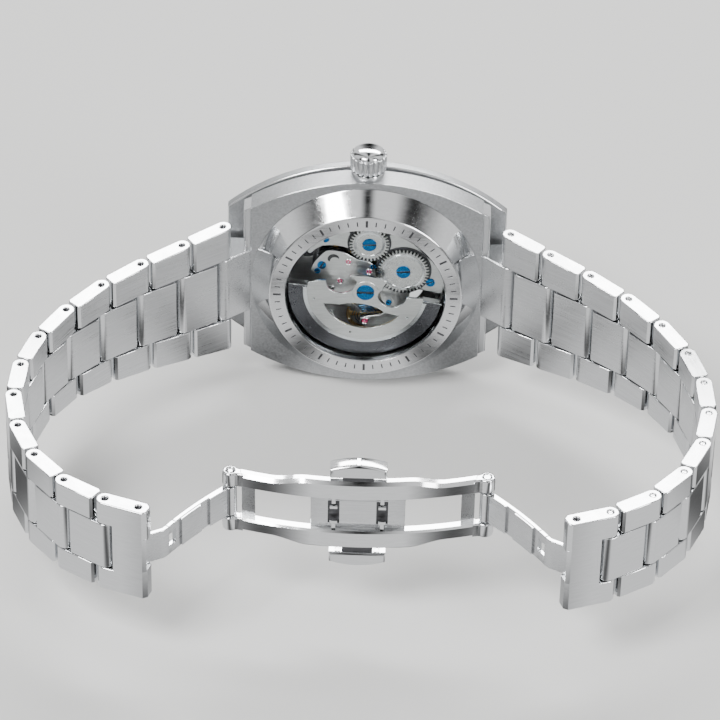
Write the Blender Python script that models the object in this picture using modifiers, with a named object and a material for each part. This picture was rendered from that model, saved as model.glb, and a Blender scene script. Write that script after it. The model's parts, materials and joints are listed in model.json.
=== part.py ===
"""Skeleton wristwatch: automatic movement, tonneau case, 24-link bracelet and butterfly clasp.

World frame: +Z towards the crown (3 o'clock), +Y towards the dial side, +X towards 12 o'clock.
The origin is where the hands' axis meets the outer face of the case-back crystal.
Parts are modelled in a bench frame, the watch lying on its dial: bench x = world X,
bench y = world Z (crown), bench z = world -Y (out of the case back). A "depth" is -z.
All lengths below are millimetres; MM turns them into metres.
"""

import math

import bmesh
import bpy
from mathutils import Vector

MM = 0.001
MERGE = 1e-7

# case, as depths from the outer face of the back crystal and radii from the hands' axis
BACK_WINDOW_R = 12.7
BACK_FLAT_R = 15.3
BACK_FOOT_R = 18.25
BACK_DEPTH = 3.6
BACK_CRYSTAL_T = 1.0
GROOVE_DEPTH = 7.6
FLANGE_DEPTH = 8.3
CASE_FRONT_DEPTH = 10.0
BEZEL_FRONT_DEPTH = 12.2
FRONT_CRYSTAL_DEPTH = 12.6
BODY_END_X = 19.5
BODY_CORNER_Y = 13.2
BODY_HALF_WIDTH = 19.3
FLANGE_END_X = 22.2
FLANGE_CORNER_Y = 11.0
FLANGE_HALF_WIDTH = 19.5
MOVEMENT_BORE_R = 13.5
GASKET_SEAT_R = 16.4
DIAL_SEAT_R = 16.0
CROWN_DEPTH = 7.2
CROWN_R = 2.9
CROWN_START = 20.0
CROWN_END = 23.6
STEM_R = 0.6

# bracelet
PIN_X = 22.7
PIN_DEPTH = 1.7
PITCH = 7.5
END_PITCH = 5.3
HALF_THICK = 1.3
PIN_R = 0.5
BORE_R = 0.64
PIN_GAP = 0.25
SIDE_GAP = 0.12
WIDTH_AT_CASE = 23.4
WIDTH_AT_CLASP = 16.2
TAPER_LINKS = 4.5
LINKS_PER_SIDE = 12
REST_BENDS = (34, 0, 5, 9, 12, 14, 13, 13, 14, 16, 17, 13)

# clasp, drawn closed: x from the clasp's middle, t outwards from the frame's middle line
HINGE_X = 19.0
FRAME_R = 60.0
BAR_X = 1.9
BAR_RISE = 2.2
BAR_R = 0.45
EYE_R = 1.2
KNUCKLE_R = 1.0
RAIL_INNER = 2.95
RAIL_OUTER = 5.4
RAIL_SWELL = 0.9
RAIL_UNDER = -0.9
RAIL_OVER = 0.65
ARM_HALF_WIDTH = 2.6
PUSHER_HALF_LENGTH = 4.2

# movement, plan positions on the bench (x, y)
BARREL_AT = (5.95, 2.9)
CROWN_WHEEL_AT = (0.45, 8.0)
CENTRE_AT = (0.0, 0.0)
THIRD_AT = (-2.82, 4.18)
FOURTH_AT = (-4.1, 0.43)
ESCAPE_AT = (-5.0, -2.7)
PALLET_AT = (-2.57, -4.93)
BALANCE_AT = (0.0, -7.3)
MAINPLATE_DEPTHS = (6.5, 7.9)


# ------------------------------------------------------------------ scene and materials

def clear_scene():
    for obj in list(bpy.data.objects):
        bpy.data.objects.remove(obj, do_unlink=True)


def collection(name):
    group = bpy.data.collections.new(name)
    bpy.context.scene.collection.children.link(group)
    return group


def finish(name, colour, roughness, metallic=1.0, transmission=0.0):
    mat = bpy.data.materials.new(name)
    mat.use_nodes = True
    shader = mat.node_tree.nodes["Principled BSDF"]
    shader.inputs["Base Color"].default_value = (*colour, 1.0)
    shader.inputs["Roughness"].default_value = roughness
    shader.inputs["Metallic"].default_value = metallic
    shader.inputs["Transmission Weight"].default_value = transmission
    mat.diffuse_color = (*colour, 1.0)
    return mat


def paint(obj, mat):
    """Give the object its own copy of a finish, named after it."""
    own = mat.copy()
    own.name = obj.name + "_" + mat.name
    obj.data.materials.clear()
    obj.data.materials.append(own)


def smooth(obj, angle=35.0):
    obj.data.shade_smooth()
    obj.data.set_sharp_from_angle(angle=math.radians(angle))


# ------------------------------------------------------------------ outlines

def arc(cx, cy, r, start, end, count):
    """Points of an arc, angles in degrees, both ends included."""
    angles = [math.radians(start + (end - start) * k / (count - 1)) for k in range(count)]
    return [(cx + r * math.cos(a), cy + r * math.sin(a)) for a in angles]


def circle(cx, cy, r, count):
    return arc(cx, cy, r, 0.0, 360.0 * (count - 1) / count, count)


def toothed(teeth, tip_r, root_r, cx=0.0, cy=0.0):
    """A gear outline with one pointed tooth per pitch."""
    points = []
    for k in range(2 * teeth):
        r = tip_r if k % 2 == 0 else root_r
        a = math.pi * k / teeth
        points.append((cx + r * math.cos(a), cy + r * math.sin(a)))
    return points


def tonneau(end_x, corner_y, half_width, count):
    """A barrel outline: two long arcs through (0, half_width) and the corners, cut off square."""
    rise = half_width - corner_y
    r = (end_x ** 2 + rise ** 2) / (2 * rise)
    half = math.degrees(math.asin(end_x / r))
    top = arc(0, half_width - r, r, 90 - half, 90 + half, count)
    bottom = arc(0, r - half_width, r, 270 - half, 270 + half, count)
    return top + bottom


# ------------------------------------------------------------------ solids

class Bench:
    """The bench frame: an empty that turns bench axes into world axes, and two collections."""

    def __init__(self):
        self.parts = collection("skeleton_wristwatch")
        self.tools = collection("cutters")
        self.empty = bpy.data.objects.new("bench_frame", None)
        self.empty.rotation_euler = (math.pi / 2, 0, 0)
        self.parts.objects.link(self.empty)

    def mesh_object(self, name, mesh):
        obj = bpy.data.objects.new(name, mesh)
        self.parts.objects.link(obj)
        obj.parent = self.empty
        return obj

    def turned(self, name, profile, steps=32, at=(0, 0), loop=True, origin_depth=0.0):
        """Turn a profile of (radius, depth) about the depth axis through at.

        The profile runs down its outer side, from small depth to large, and back up inside.
        """
        mesh = bpy.data.meshes.new(name)
        verts = [(r * MM, 0, -(d - origin_depth) * MM) for r, d in profile]
        edges = [(k, k + 1) for k in range(len(verts) - 1)]
        if loop:
            edges.append((len(verts) - 1, 0))
        mesh.from_pydata(verts, edges, [])
        obj = self.mesh_object(name, mesh)
        obj.location = (at[0] * MM, at[1] * MM, -origin_depth * MM)
        screw = obj.modifiers.new("Turn", "SCREW")
        screw.steps = steps
        screw.render_steps = steps
        screw.use_merge_vertices = True
        screw.merge_threshold = MERGE
        screw.use_smooth_shade = True
        self.settle(obj)
        return obj

    def plate(self, name, outlines, depths, at=(0, 0), side_on=False):
        """Extrude flat outlines. Flat on the bench they lie in x, y between two depths; side on
        they lie in x, z and the two numbers are the y limits."""
        low, high = depths
        data = bpy.data.curves.new(name, "CURVE")
        data.dimensions = "2D"
        data.fill_mode = "BOTH"
        data.extrude = (high - low) / 2 * MM
        for outline in outlines:
            spline = data.splines.new("POLY")
            spline.points.add(len(outline) - 1)
            for point, (x, y) in zip(spline.points, outline):
                point.co = (x * MM, y * MM, 0, 1)
            spline.use_cyclic_u = True
        curve = bpy.data.objects.new(name + "_outline", data)
        self.parts.objects.link(curve)
        bpy.context.view_layer.update()
        mesh = bpy.data.meshes.new_from_object(
            curve.evaluated_get(bpy.context.evaluated_depsgraph_get()))
        bpy.data.objects.remove(curve, do_unlink=True)
        weld(mesh)
        obj = self.mesh_object(name, mesh)
        middle = (low + high) / 2 * MM
        if side_on:
            for vert in mesh.vertices:
                x, y, z = vert.co
                vert.co = (x, middle - z, y)
            obj.location = (at[0] * MM, 0, at[1] * MM)
        else:
            for vert in mesh.vertices:
                vert.co.z -= middle
            obj.location = (at[0] * MM, at[1] * MM, 0)
        return obj

    def settle(self, obj):
        """Turn an object's modifiers into mesh."""
        bpy.context.view_layer.update()
        mesh = bpy.data.meshes.new_from_object(
            obj.evaluated_get(bpy.context.evaluated_depsgraph_get()))
        obj.modifiers.clear()
        obj.data = mesh
        weld(mesh)

    def combine(self, obj, others, operation):
        """Cut or join others into obj one after another, exactly."""
        for other in others:
            mod = obj.modifiers.new(operation.title(), "BOOLEAN")
            mod.operation = operation
            mod.solver = "EXACT"
            mod.object = other
            self.settle(obj)
        for other in others:
            bpy.data.objects.remove(other, do_unlink=True)
        return obj

    def cut(self, obj, *cutters):
        return self.combine(obj, cutters, "DIFFERENCE")

    def join(self, obj, *others):
        return self.combine(obj, others, "UNION")

    def rod(self, name, radius, start, end, count=10):
        """A round bar between two bench points."""
        a, b = Vector(start) * MM, Vector(end) * MM
        mesh = bpy.data.meshes.new(name)
        bm = bmesh.new()
        bmesh.ops.create_cone(bm, cap_ends=True, segments=count, radius1=radius * MM,
                              radius2=radius * MM, depth=(b - a).length)
        turn = Vector((0, 0, 1)).rotation_difference(b - a).to_matrix().to_4x4()
        bmesh.ops.transform(bm, matrix=turn, verts=bm.verts)
        bmesh.ops.translate(bm, vec=(a + b) / 2, verts=bm.verts)
        bm.to_mesh(mesh)
        bm.free()
        return self.mesh_object(name, mesh)

    def box(self, name, low, high):
        mesh = bpy.data.meshes.new(name)
        bm = bmesh.new()
        bmesh.ops.create_cube(bm, size=1.0)
        size = [(h - l) * MM for l, h in zip(low, high)]
        bmesh.ops.scale(bm, vec=size, verts=bm.verts)
        middle = [(h + l) / 2 * MM for l, h in zip(low, high)]
        bmesh.ops.translate(bm, vec=middle, verts=bm.verts)
        bm.to_mesh(mesh)
        bm.free()
        return self.mesh_object(name, mesh)


def weld(mesh):
    bm = bmesh.new()
    bm.from_mesh(mesh)
    bmesh.ops.remove_doubles(bm, verts=bm.verts, dist=MERGE)
    bmesh.ops.dissolve_degenerate(bm, dist=MERGE, edges=bm.edges)
    bmesh.ops.recalc_face_normals(bm, faces=bm.faces)
    bm.to_mesh(mesh)
    bm.free()


def place(obj, x, z, heading):
    """Put a piece drawn about its own axis at bench (x, z), turned to a heading in that plane."""
    obj.location = (x * MM, 0, z * MM)
    obj.rotation_euler = (0, -heading, 0)


# ------------------------------------------------------------------ case

def middle_case(bench, steel):
    body = bench.plate("middle_case", [tonneau(BODY_END_X, BODY_CORNER_Y, BODY_HALF_WIDTH, 9)],
                       (BACK_DEPTH, GROOVE_DEPTH))
    waist = bench.plate("waist", [tonneau(BODY_END_X - 0.5, BODY_CORNER_Y - 0.5,
                                          BODY_HALF_WIDTH - 0.5, 9)],
                        (GROOVE_DEPTH - 0.5, FLANGE_DEPTH + 0.5))
    flange = bench.plate("flange", [tonneau(FLANGE_END_X, FLANGE_CORNER_Y, FLANGE_HALF_WIDTH, 9)],
                         (FLANGE_DEPTH, CASE_FRONT_DEPTH))
    tongues = [tongue(bench, side) for side in (-1, 1)]
    bench.join(body, waist, flange, *tongues)
    crown_pad = bench.rod("crown_pad", 2.7, (0, 16.5, -CROWN_DEPTH), (0, CROWN_START - 0.3, -CROWN_DEPTH), 16)
    bench.join(body, crown_pad)
    bore = bench.turned("bore", [(0, 3.0), (GASKET_SEAT_R, 3.0), (GASKET_SEAT_R, 5.2),
                                 (MOVEMENT_BORE_R, 5.2), (MOVEMENT_BORE_R, 8.4),
                                 (DIAL_SEAT_R, 8.4), (DIAL_SEAT_R, 11.0), (0, 11.0)], 30, loop=False)
    tube_hole = bench.rod("tube_hole", 1.35, (0, 12, -CROWN_DEPTH), (0, 21, -CROWN_DEPTH), 12)
    pin_holes = [bench.rod("pin_hole", BORE_R, (s * PIN_X, -7, -PIN_DEPTH), (s * PIN_X, 7, -PIN_DEPTH), 8)
                 for s in (-1, 1)]
    bench.cut(body, bore, tube_hole, *pin_holes)
    paint(body, steel)
    smooth(body)


def tongue(bench, side):
    """The end of the case that the first link wraps: a barrel about its pin on a thick neck."""
    half = WIDTH_AT_CASE / 4
    nose = arc(PIN_X, -PIN_DEPTH, HALF_THICK, 150, -60, 8)
    outline = [(BODY_END_X - 1.5, -7.2), (BODY_END_X - 1.5, -4.0)] + nose + [(PIN_X - 0.6, -7.2)]
    outline = [(side * x, z) for x, z in outline]
    return bench.plate("tongue", [outline], (-half, half), side_on=True)


def bezel(bench, steel):
    ring = bench.turned("bezel", [(16.4, BEZEL_FRONT_DEPTH), (15.6, BEZEL_FRONT_DEPTH),
                                  (15.6, 10.9), (15.2, 10.9), (15.2, 10.15), (18.6, 10.15),
                                  (18.6, 10.8)][::-1], 30)
    paint(ring, steel)


def front_crystal(bench, glass):
    disc = bench.turned("front_crystal", [(0, 11.2), (15.45, 11.2), (15.45, 12.3),
                                          (15.1, FRONT_CRYSTAL_DEPTH), (0, FRONT_CRYSTAL_DEPTH)],
                        30, loop=False)
    paint(disc, glass)


def case_back(bench, steel):
    """Screw-down ring: a flat annulus round the window, a polished cone, and a skirt in the case."""
    ring = bench.turned("case_back", [(BACK_WINDOW_R, 0), (BACK_FLAT_R, 0),
                                      (BACK_FOOT_R, BACK_DEPTH - 0.05), (16.2, BACK_DEPTH - 0.05),
                                      (16.2, 4.3), (14.0, 4.3), (13.6, 3.3), (13.6, 1.25),
                                      (BACK_WINDOW_R, 1.25)], 36)
    paint(ring, steel)


def back_crystal(bench, glass):
    disc = bench.turned("back_crystal", [(0, 0), (BACK_WINDOW_R - 0.05, 0),
                                         (BACK_WINDOW_R - 0.05, BACK_CRYSTAL_T),
                                         (0, BACK_CRYSTAL_T)], 36, loop=False)
    paint(disc, glass)


def gasket(bench, rubber):
    ring = bench.turned("case_back_gasket", [(14.4, 4.45), (16.1, 4.45), (16.1, 5.1), (14.4, 5.1)], 32)
    paint(ring, rubber)


def crown(bench, steel):
    """A fluted knob with a domed end; its blind bore clears the tube."""
    flutes = 20
    outline = toothed(flutes, CROWN_R, CROWN_R - 0.22)
    knob = bench.plate("crown", [outline], (CROWN_START, CROWN_END - 0.9))
    dome = bench.turned("dome", [(0, CROWN_END - 1.2), (CROWN_R - 0.3, CROWN_END - 1.2),
                                 (CROWN_R - 0.3, CROWN_END - 0.7), (CROWN_R - 0.9, CROWN_END - 0.15),
                                 (0, CROWN_END)], 20, loop=False)
    bench.join(knob, dome)
    bench.cut(knob, bench.turned("well", [(0, 19.5), (1.55, 19.5), (1.55, 21.9), (0, 21.9)], 12, loop=False))
    stand_on_crown_axis(knob)
    paint(knob, steel)
    smooth(knob)


def stand_on_crown_axis(obj):
    """Depth becomes distance along the crown's axis, and the piece turns about that axis."""
    for vert in obj.data.vertices:
        x, y, z = vert.co
        vert.co = (x, -z, y)
    obj.location = (0, 0, -CROWN_DEPTH * MM)


def winding_stem(bench, steel):
    stem = bench.turned("winding_stem", [(0, 12.0), (STEM_R, 12.0), (STEM_R, 21.75), (0, 21.75)], 10,
                        loop=False)
    stand_on_crown_axis(stem)
    paint(stem, steel)


def crown_tube(bench, steel):
    tube = bench.turned("crown_tube", [(0.8, 16.9), (1.3, 16.9), (1.3, 21.2), (0.8, 21.2)], 12)
    stand_on_crown_axis(tube)
    paint(tube, steel)


def setting_lever(bench, steel):
    """The lever that holds the stem's groove and slides with it as the crown is pulled."""
    half_gap = STEM_R + 0.12
    outline = [(-1.9, 9.6), (1.9, 9.6), (1.9, 11.8), (-1.9, 11.8)]
    plate = bench.plate("setting_lever", [outline], (CROWN_DEPTH - 0.5, CROWN_DEPTH + 0.5))
    bench.cut(plate, bench.box("notch", (-half_gap, 10.8, -8.5), (half_gap, 12.5, -6.0)))
    paint(plate, steel)


# ------------------------------------------------------------------ bracelet

def width_at(pin):
    """Bracelet width at a pin, counted from 0 at the case."""
    share = min(pin / TAPER_LINKS, 1.0)
    return WIDTH_AT_CASE + (WIDTH_AT_CLASP - WIDTH_AT_CASE) * share


def capsule_end(x, toward, count=5):
    """A half round at x facing toward +1 or -1, listed anticlockwise."""
    start = -90 if toward > 0 else 90
    return arc(x, 0, HALF_THICK, start, start + 180, count)


def link(bench, name, index):
    """One link, drawn with its own pin at x = 0 and the next link's pin at x = PITCH."""
    here, there = width_at(index), width_at(index + 1)
    outer_end = PITCH - HALF_THICK - PIN_GAP
    centre_start = HALF_THICK + PIN_GAP
    outer = capsule_end(0, -1) + [(outer_end, -HALF_THICK), (outer_end, HALF_THICK)]
    body = bench.plate(name, [outer], (-here / 2, here / 2), side_on=True)
    taper(body, here, there)
    slot = here / 4 + SIDE_GAP
    notch = bench.box("notch", (-3, -slot, -3), (centre_start, slot, 3))
    far_slot = there / 4
    centre = [(centre_start - 0.1, HALF_THICK), (centre_start - 0.1, -HALF_THICK)] + capsule_end(PITCH, 1)
    middle = bench.plate("middle", [centre], (-far_slot, far_slot), side_on=True)
    pin = bench.rod("pin", PIN_R, (0, -slot - 1, 0), (0, slot + 1, 0), 8)
    bench.cut(body, notch)
    bench.join(body, middle, pin)
    bench.cut(body, bench.rod("bore", BORE_R, (PITCH, -12, 0), (PITCH, 12, 0), 8))
    return body


def taper(obj, here, there):
    for vert in obj.data.vertices:
        share = max(vert.co.x / MM, 0.0) / PITCH
        vert.co.y *= 1 + (there / here - 1) * share


def end_link(bench, name, side):
    """The wide last link: notched for its neighbour, hollowed for the clasp arm, with its bar."""
    width = width_at(LINKS_PER_SIDE)
    end_x = END_PITCH + 1.6
    outline = capsule_end(0, -1) + [(end_x - 0.5, -HALF_THICK), (end_x, -HALF_THICK + 0.5),
                                    (end_x, HALF_THICK - 0.5), (end_x - 0.5, HALF_THICK)]
    body = bench.plate(name, [outline], (-width / 2, width / 2), side_on=True)
    slot = width / 4 + SIDE_GAP
    notch = bench.box("notch", (-3, -slot, -3), (HALF_THICK + PIN_GAP, slot, 3))
    arm_slot = ARM_HALF_WIDTH + 0.15
    inner, outer_skin = -side * 3.0, side * 1.0
    pocket = bench.box("pocket", (END_PITCH - 3.3, -arm_slot, min(inner, outer_skin)),
                       (end_x + 1, arm_slot, max(inner, outer_skin)))
    bench.cut(body, notch, pocket)
    pin = bench.rod("pin", PIN_R, (0, -slot - 1, 0), (0, slot + 1, 0), 8)
    bar = bench.rod("bar", BAR_R, (END_PITCH, -arm_slot - 1, 0), (END_PITCH, arm_slot + 1, 0), 8)
    return bench.join(body, pin, bar)


def chain(side):
    """Rest position and heading of every link's pin, then of the clasp bar."""
    x, z, heading = PIN_X, -PIN_DEPTH, 0.0
    places = []
    for index, bend in enumerate(REST_BENDS):
        heading += math.radians(bend)
        places.append((side * x, z, heading if side > 0 else math.pi - heading))
        step = PITCH if index < LINKS_PER_SIDE - 1 else END_PITCH
        x += step * math.cos(heading)
        z += step * math.sin(heading)
    places.append((side * x, z, 0.0))
    return places


def bracelet(bench, steel):
    for side, word in ((-1, "left"), (1, "right")):
        for index, (x, z, heading) in enumerate(chain(side)[:LINKS_PER_SIDE]):
            if index == LINKS_PER_SIDE - 1:
                obj = end_link(bench, "end_link_" + word, -side)
            else:
                obj = link(bench, "link_%s_%02d" % (word, index + 1), index)
            place(obj, x, z, heading)
            paint(obj, steel)
            smooth(obj)


# ------------------------------------------------------------------ clasp

def frame_line(x):
    """Height of the clasp frame's middle line at x, closed."""
    return -x * x / (2 * FRAME_R)


HINGE_T = frame_line(HINGE_X)
ARM_CHORD = math.hypot(HINGE_X - BAR_X, BAR_RISE - HINGE_T)
CLOSED_ARM_ANGLE = math.atan2(HINGE_T - BAR_RISE, HINGE_X - BAR_X)


def rest_hinge():
    """Where the right hinge is at rest (bench x, z), and the right arm's heading from its bar."""
    bar_x, bar_z, _ = chain(1)[-1]
    run = bar_x - HINGE_X
    rise = math.sqrt(ARM_CHORD ** 2 - run ** 2)
    return bar_z - rise, math.atan2(-rise, -run)


def clasp_frame(bench, steel):
    """Two polished rails on an arc, a cross bar near each end and the latch block between them.

    Drawn about its left hinge axis.
    """
    xs = [-17.8 + 35.6 * k / 12 for k in range(13)]
    over = [(x, frame_line(x) + RAIL_OVER) for x in xs]
    under = [(x, frame_line(x) + RAIL_UNDER) for x in xs]
    right_eye = arc(HINGE_X, HINGE_T, EYE_R, -125, 125, 7)
    left_eye = arc(-HINGE_X, HINGE_T, EYE_R, 55, 305, 7)
    outline = under + right_eye + over[::-1] + left_eye
    rails = []
    for side in (-1, 1):
        limits = sorted((side * RAIL_INNER, side * RAIL_OUTER))
        rail = bench.plate("clasp_frame" if side < 0 else "rail", [outline], limits, side_on=True)
        for vert in rail.data.vertices:
            if abs(vert.co.y) > (RAIL_OUTER - 0.1) * MM:
                swell = min(max((14.0 - abs(vert.co.x) / MM) / 6.0, 0.0), 1.0)
                vert.co.y += side * RAIL_SWELL * swell * MM
        rails.append(rail)
    bars = [cross_piece(bench, x0, x1) for x0, x1 in ((-17.3, -15.3), (-7.0, 7.0), (15.3, 17.3))]
    frame = bench.join(rails[0], rails[1], *bars)
    slots = [bench.box("slot", (x - 0.85, -2.1, -3), (x + 0.85, 2.1, 3)) for x in (-3.6, 3.6)]
    low, high = RAIL_UNDER + 0.5, RAIL_UNDER + 1.1
    keepers = [bench.box("keeper", (-2.6, s * 4.3 - 1.9, low), (2.6, s * 4.3 + 1.9, high))
               for s in (-1, 1)]
    hinge_hole = bench.rod("hinge_hole", 0.55, (-HINGE_X, -8, HINGE_T), (-HINGE_X, 8, HINGE_T), 8)
    bench.cut(frame, hinge_hole, *slots, *keepers)
    shift = Vector((HINGE_X, 0, -HINGE_T)) * MM
    for vert in frame.data.vertices:
        vert.co += shift
    place(frame, -HINGE_X, rest_hinge()[0], 0.0)
    paint(frame, steel)
    smooth(frame)


def cross_piece(bench, x0, x1):
    count = max(2, int((x1 - x0) / 3))
    xs = [x0 + (x1 - x0) * k / count for k in range(count + 1)]
    outline = [(x, frame_line(x) + RAIL_UNDER + 0.02) for x in xs]
    outline += [(x, frame_line(x) - 0.35) for x in reversed(xs)]
    reach = RAIL_INNER + 0.3
    return bench.plate("cross_piece", [outline], (-reach, reach), side_on=True)


def arm_line(x):
    """Middle line of an arm plate, closed: it lies on the frame, then cranks up to the bar."""
    crank_start = 5.2
    if x >= crank_start:
        return frame_line(x) + 0.2
    share = (crank_start - x) / (crank_start - BAR_X)
    return (1 - share) * (frame_line(crank_start) + 0.2) + share * BAR_RISE


def clasp_arm(bench, side, steel):
    """One folding leaf, drawn about its bar with its hinge along +x."""
    half = 0.38
    xs = [HINGE_X - 0.4, 16.5, 14.0, 11.5, 9.0, 7.0, 5.2, 3.4, BAR_X + 0.3]
    line = [(x, arm_line(x)) for x in xs]
    upper, lower = [], []
    for k, (x, t) in enumerate(line):
        before, after = line[max(k - 1, 0)], line[min(k + 1, len(line) - 1)]
        run, rise = after[0] - before[0], after[1] - before[1]
        size = math.hypot(run, rise)
        normal = (rise / size, -run / size)
        upper.append((x + normal[0] * half, t + normal[1] * half))
        lower.append((x - normal[0] * half, t - normal[1] * half))
    arm = bench.plate("clasp_arm_left" if side < 0 else "clasp_arm_right", [upper + lower[::-1]],
                      (-ARM_HALF_WIDTH, ARM_HALF_WIDTH), side_on=True)
    knuckles = [bench.rod("knuckle", KNUCKLE_R, (x, -ARM_HALF_WIDTH, t), (x, ARM_HALF_WIDTH, t), 12)
                for x, t in ((HINGE_X, HINGE_T), (BAR_X, BAR_RISE))]
    bench.join(arm, *knuckles)
    holes = [bench.rod("hole", BORE_R - 0.04, (x, -4, t), (x, 4, t), 8)
             for x, t in ((HINGE_X, HINGE_T), (BAR_X, BAR_RISE))]
    window = bench.box("window", (6.0, -1.1, -3), (7.6, 1.1, 3))
    bench.cut(arm, window, *holes)
    cosine, sine = math.cos(-CLOSED_ARM_ANGLE), math.sin(-CLOSED_ARM_ANGLE)
    for vert in arm.data.vertices:
        x, t = vert.co.x - BAR_X * MM, vert.co.z - BAR_RISE * MM
        vert.co.x, vert.co.z = x * cosine - t * sine, (x * sine + t * cosine) * side
    if side < 0:
        weld(arm.data)
    bar_x, bar_z, _ = chain(side)[-1]
    heading = rest_hinge()[1]
    place(arm, bar_x, bar_z, heading if side > 0 else math.pi - heading)
    paint(arm, steel)
    smooth(arm)


def push_button(bench, name, side, steel):
    """A side button with an arched cap and a tongue that slides in the frame."""
    rim, depth = 7.1, 2.4
    crown_arc = arc(0, rim + depth - 12.0, 12.0, 90 - 20.5, 90 + 20.5, 9)
    outline = [(PUSHER_HALF_LENGTH, rim)] + crown_arc + [(-PUSHER_HALF_LENGTH, rim)]
    cap = bench.plate(name, [[(x, side * y) for x, y in outline]], (-0.7, 1.9))
    tongue_limits = sorted((side * 4.6, side * (rim + 0.5)))
    tongue_plate = bench.box("tongue", (-2.3, tongue_limits[0], RAIL_UNDER + 0.62),
                             (2.3, tongue_limits[1], RAIL_UNDER + 0.98))
    bench.join(cap, tongue_plate)
    cap.location = (0, 0, (rest_hinge()[0] - HINGE_T) * MM)
    paint(cap, steel)


def hinge_pin(bench, steel):
    z = rest_hinge()[0]
    pin = bench.rod("hinge_pin_left", 0.45, (0, -5.3, 0), (0, 5.3, 0), 10)
    place(pin, -HINGE_X, z, 0.0)
    paint(pin, steel)


# ------------------------------------------------------------------ movement

def mainplate(bench, steel):
    low, high = MAINPLATE_DEPTHS
    plate = bench.turned("mainplate", [(0, low), (13.0, low), (13.0, high), (0, high)], 30, loop=False)
    windows = [bench.turned("window", [(0, 6), (2.2, 6), (2.2, 8.5), (0, 8.5)], 14, at=at, loop=False)
               for at in ((9.0, -5.0), (-9.6, 5.2), (6.6, 9.6))]
    stem_slot = bench.box("stem_slot", (-2.2, 9.3, -8.6), (2.2, 14, -6.0))
    shaft = bench.turned("shaft", [(0, 6), (1.0, 6), (1.0, 8.5), (0, 8.5)], 12, loop=False)
    bench.cut(plate, stem_slot, shaft, *windows)
    paint(plate, steel)
    smooth(plate)


def bridge(bench, name, outline, depths, holes, feet, steel):
    """A bridge over the wheels: a plate, legs down to the mainplate, and holes for pivots."""
    plate = bench.plate(name, [outline] + [circle(x, y, r, 12) for x, y, r in holes], depths)
    legs = [bench.turned("leg", [(0, depths[1] - 0.3), (0.8, depths[1] - 0.3),
                                 (0.8, MAINPLATE_DEPTHS[0] - 0.02), (0, MAINPLATE_DEPTHS[0] - 0.02)],
                         10, at=at, loop=False) for at in feet]
    bench.join(plate, *legs)
    paint(plate, steel)
    smooth(plate)


def bridges(bench, steel):
    s_curve = [(-8.9, 5.6), (-6.9, 7.2), (-5.2, 7.3), (-2.9, 6.8), (-1.2, 5.6), (0.9, 5.1), (2.6, 3.7),
               (3.6, 1.7), (4.9, 0.2), (7.0, -0.6), (10.0, -1.2)]
    bridge(bench, "barrel_bridge", arc(0, 0, 12.4, -8, 148, 15) + s_curve, (3.6, 4.5),
           [(BARREL_AT[0], BARREL_AT[1], 0.75), (CROWN_WHEEL_AT[0], CROWN_WHEEL_AT[1], 0.6)],
           [(11.3, -0.3), (7.6, 8.9), (-0.6, 11.4), (-7.6, 8.6)], steel)
    train_side = [(-8.8, 2.3), (-8.4, 3.9), (-6.6, 6.2), (-5.4, 6.4), (-3.4, 6.0), (-1.7, 4.8), (0.4, 4.4),
                  (1.9, 3.1), (2.7, 1.6), (1.5, -1.4), (-1.8, -1.6), (-2.6, -3.2), (-4.4, -4.2),
                  (-6.4, -3.4), (-6.9, -0.8), (-7.2, 1.2)]
    pivots = [(x, y, 0.4) for x, y in (THIRD_AT, FOURTH_AT, ESCAPE_AT, CENTRE_AT)]
    bridge(bench, "train_bridge", train_side[::-1], (3.6, 4.5), pivots,
           [(-7.8, 3.0), (-6.9, 5.1)], steel)
    cock = (arc(0, 0, 12.4, 262, 325, 7)
            + [(9.0, -5.0), (6.0, -4.4), (4.2, -4.6), (2.4, -6.1), (0.4, -6.4), (-0.8, -6.8), (-1.0, -7.7),
               (-0.2, -8.4), (0.6, -9.4), (-0.6, -10.8)])
    bridge(bench, "balance_cock", cock, (3.6, 4.4), [(BALANCE_AT[0], BALANCE_AT[1], 0.35)],
           [(8.8, -7.4), (6.6, -9.6)], steel)


def wheel(bench, name, at, teeth, tip_r, depths, brass, axle=None, leaves=None, spokes=5):
    """A toothed wheel with spoke windows, its axle and, where it has one, its pinion."""
    root_r = tip_r - 0.28
    low, high = depths
    outlines = [toothed(teeth, tip_r, root_r)]
    inner, outer = 0.3 * tip_r, root_r - 0.45
    for k in range(spokes):
        start, end = 360.0 * k / spokes + 11, 360.0 * (k + 1) / spokes - 11
        outlines.append(arc(0, 0, outer, start, end, 5) + arc(0, 0, inner, end - 6, start + 6, 3))
    body = bench.plate(name, outlines, depths)
    extras = []
    if leaves:
        count, radius, p_low, p_high = leaves
        extras.append(bench.plate("pinion", [toothed(count, radius, radius * 0.6)], (p_low, p_high)))
    if axle:
        radius, a_low, a_high = axle
        extras.append(bench.turned("axle", [(0, a_low), (radius, a_low), (radius, a_high), (0, a_high)],
                                   8, loop=False))
    bench.join(body, *extras)
    body.location = (at[0] * MM, at[1] * MM, 0)
    paint(body, brass)
    smooth(body)
    return body


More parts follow.
